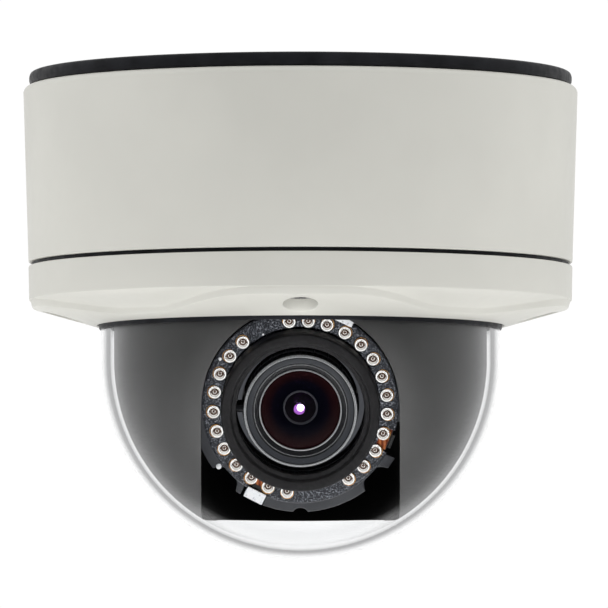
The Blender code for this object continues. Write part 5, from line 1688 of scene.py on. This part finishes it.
FLOOR_HALF_WIDTH = 24.0
CAMERA_REACH = 120.0
LOW_LIGHT = ((0.0, -0.35, -1.45), (1.6, 0.8), 7.0)  # place, size and power
SNOOT_PLACE = (0.0, -1.3, -0.42)
SNOOT_POWER = 135.0
SNOOT_CONE = math.radians(2.7)  # just wide enough for the ring of lamps
BACKDROP_LEVEL = 1.02
DEPTH_INSIDE_BUBBLE = 2.5  # more clear faces than this were passed: the ray is in the bubble
DEPTH_IN_LENS = 6.5  # the same, for the glass in the middle of the lens

# The glints in the lens: name, place, width, colour and power.
GLINTS = (
    ("lens_glint", (0.0, -1.55, -0.70), 0.075, (1.0, 1.0, 1.0), 0.12),
    ("violet_glint", (-0.012, -1.57, -0.725), 0.115, (0.80, 0.30, 1.0), 0.045),
)


def place_light(data, spot, aim_height):
    lamp = bpy.data.objects.new(data.name, data)
    bpy.context.scene.collection.objects.link(lamp)
    lamp.location = spot
    towards = Vector((0.0, 0.0, aim_height)) - Vector(spot)
    lamp.rotation_euler = towards.to_track_quat("-Z", "Y").to_euler()
    lamp.visible_camera = False
    return lamp


def area_light(name, spot, size, power, colour=(1.0, 1.0, 1.0)):
    data = bpy.data.lights.new(name, "AREA")
    data.shape = "DISK" if size[0] == size[1] else "RECTANGLE"
    data.size = size[0]
    if size[0] != size[1]:
        data.size_y = size[1]
    data.energy = power
    data.color = colour
    return place_light(data, spot, -0.09)


def only_in_the_lens(data):
    """Keeps the light's mirror image off the bubble and the front glass, and in the lens."""
    data.use_nodes = True
    tree = data.node_tree
    emission = next(n for n in tree.nodes if n.type == "EMISSION")
    depth = tree_node(tree, "ShaderNodeLightPath").outputs["Transmission Depth"]
    on = sums(tree, "GREATER_THAN", depth, DEPTH_IN_LENS)
    tree.links.new(on, emission.inputs["Strength"])


class DOMECAM_OT_stage(bpy.types.Operator):
    """Build the floor, the soft light and the camera"""

    bl_idname = "domecam.stage"
    bl_label = "Studio"

    def execute(self, context):
        scene = context.scene
        stage = scene.domecam_stage
        bm = bmesh.new()
        bmesh.ops.create_grid(bm, x_segments=8, y_segments=8, size=FLOOR_HALF_WIDTH)
        floor = made_of("studio_floor", bm, "floor_paint")
        floor.location.z = stage.floor_drop

        camera_data = bpy.data.cameras.new("camera")
        camera_data.lens = stage.focal_length
        camera_data.sensor_width = 36.0
        camera_data.clip_end = CAMERA_REACH
        camera = bpy.data.objects.new("camera", camera_data)
        scene.collection.objects.link(camera)
        camera.location = (stage.aim_side, -stage.distance, stage.camera_height)
        aim = Vector((stage.aim_side, 0.0, stage.aim_height)) - camera.location
        camera.rotation_euler = aim.to_track_quat("-Z", "Y").to_euler()
        scene.camera = camera

        scene.view_settings.view_transform = "Standard"
        world = bpy.data.worlds.new("studio_light")
        scene.world = world
        world.use_nodes = True
        light_the_world(world.node_tree)
        soft = area_light("low_light", *LOW_LIGHT)
        for name, spot, width, colour, power in GLINTS:
            glint = area_light(name, spot, (width, width), power, colour)
            only_in_the_lens(glint.data)
        snoot = bpy.data.lights.new("snoot", "SPOT")
        snoot.energy = SNOOT_POWER
        snoot.spot_size = SNOOT_CONE
        snoot.spot_blend = 0.35
        snoot.shadow_soft_size = 0.008
        spot = place_light(snoot, SNOOT_PLACE, PIVOT_HEIGHT + 1.2 * MM)
        for unseen in (floor, soft, spot):
            unseen.visible_glossy = False
            unseen.visible_transmission = False
        return {"FINISHED"}


STEPS = (
    DOMECAM_OT_stage,
    DOMECAM_OT_hidden_parts,
    DOMECAM_OT_gasket,
    DOMECAM_OT_housing,
    DOMECAM_OT_cover_ring,
    DOMECAM_OT_cover_screws,
    DOMECAM_OT_bubble,
    DOMECAM_OT_dome_seal,
    DOMECAM_OT_liner,
    DOMECAM_OT_roll_ring,
    DOMECAM_OT_lamp_plate,
    DOMECAM_OT_lamps,
    DOMECAM_OT_clips,
    DOMECAM_OT_hood,
    DOMECAM_OT_lens_front,
    DOMECAM_OT_lens_rings,
)

GROUPS = (
    ("domecam_cover", DOMECAM_PG_cover),
    ("domecam_bubble", DOMECAM_PG_bubble),
    ("domecam_lamps", DOMECAM_PG_lamps),
    ("domecam_lens", DOMECAM_PG_lens),
    ("domecam_stage", DOMECAM_PG_stage),
)


class DOMECAM_PT_panel(bpy.types.Panel):
    """Pieces and sizes of the dome camera"""

    bl_idname = "DOMECAM_PT_panel"
    bl_label = "Dome Camera"
    bl_space_type = "VIEW_3D"
    bl_region_type = "UI"
    bl_category = "Dome Camera"

    def draw(self, context):
        layout = self.layout
        for name, group in GROUPS:
            box = layout.box()
            box.label(text=group.__doc__)
            values = getattr(context.scene, name)
            for word in group.__annotations__:
                box.prop(values, word)
        column = layout.column(align=True)
        for step in STEPS:
            column.operator(step.bl_idname)


CLASSES = (*(group for _, group in GROUPS), *STEPS, DOMECAM_PT_panel)


def register():
    for item in CLASSES:
        bpy.utils.register_class(item)
    for name, group in GROUPS:
        setattr(bpy.types.Scene, name, PointerProperty(type=group))


def unregister():
    for name, _ in GROUPS:
        delattr(bpy.types.Scene, name)
    for item in reversed(CLASSES):
        bpy.utils.unregister_class(item)


def main():
    register()
    for step in STEPS:
        area, word = step.bl_idname.split(".")
        getattr(getattr(bpy.ops, area), word)()


if __name__ == "__main__":
    main()
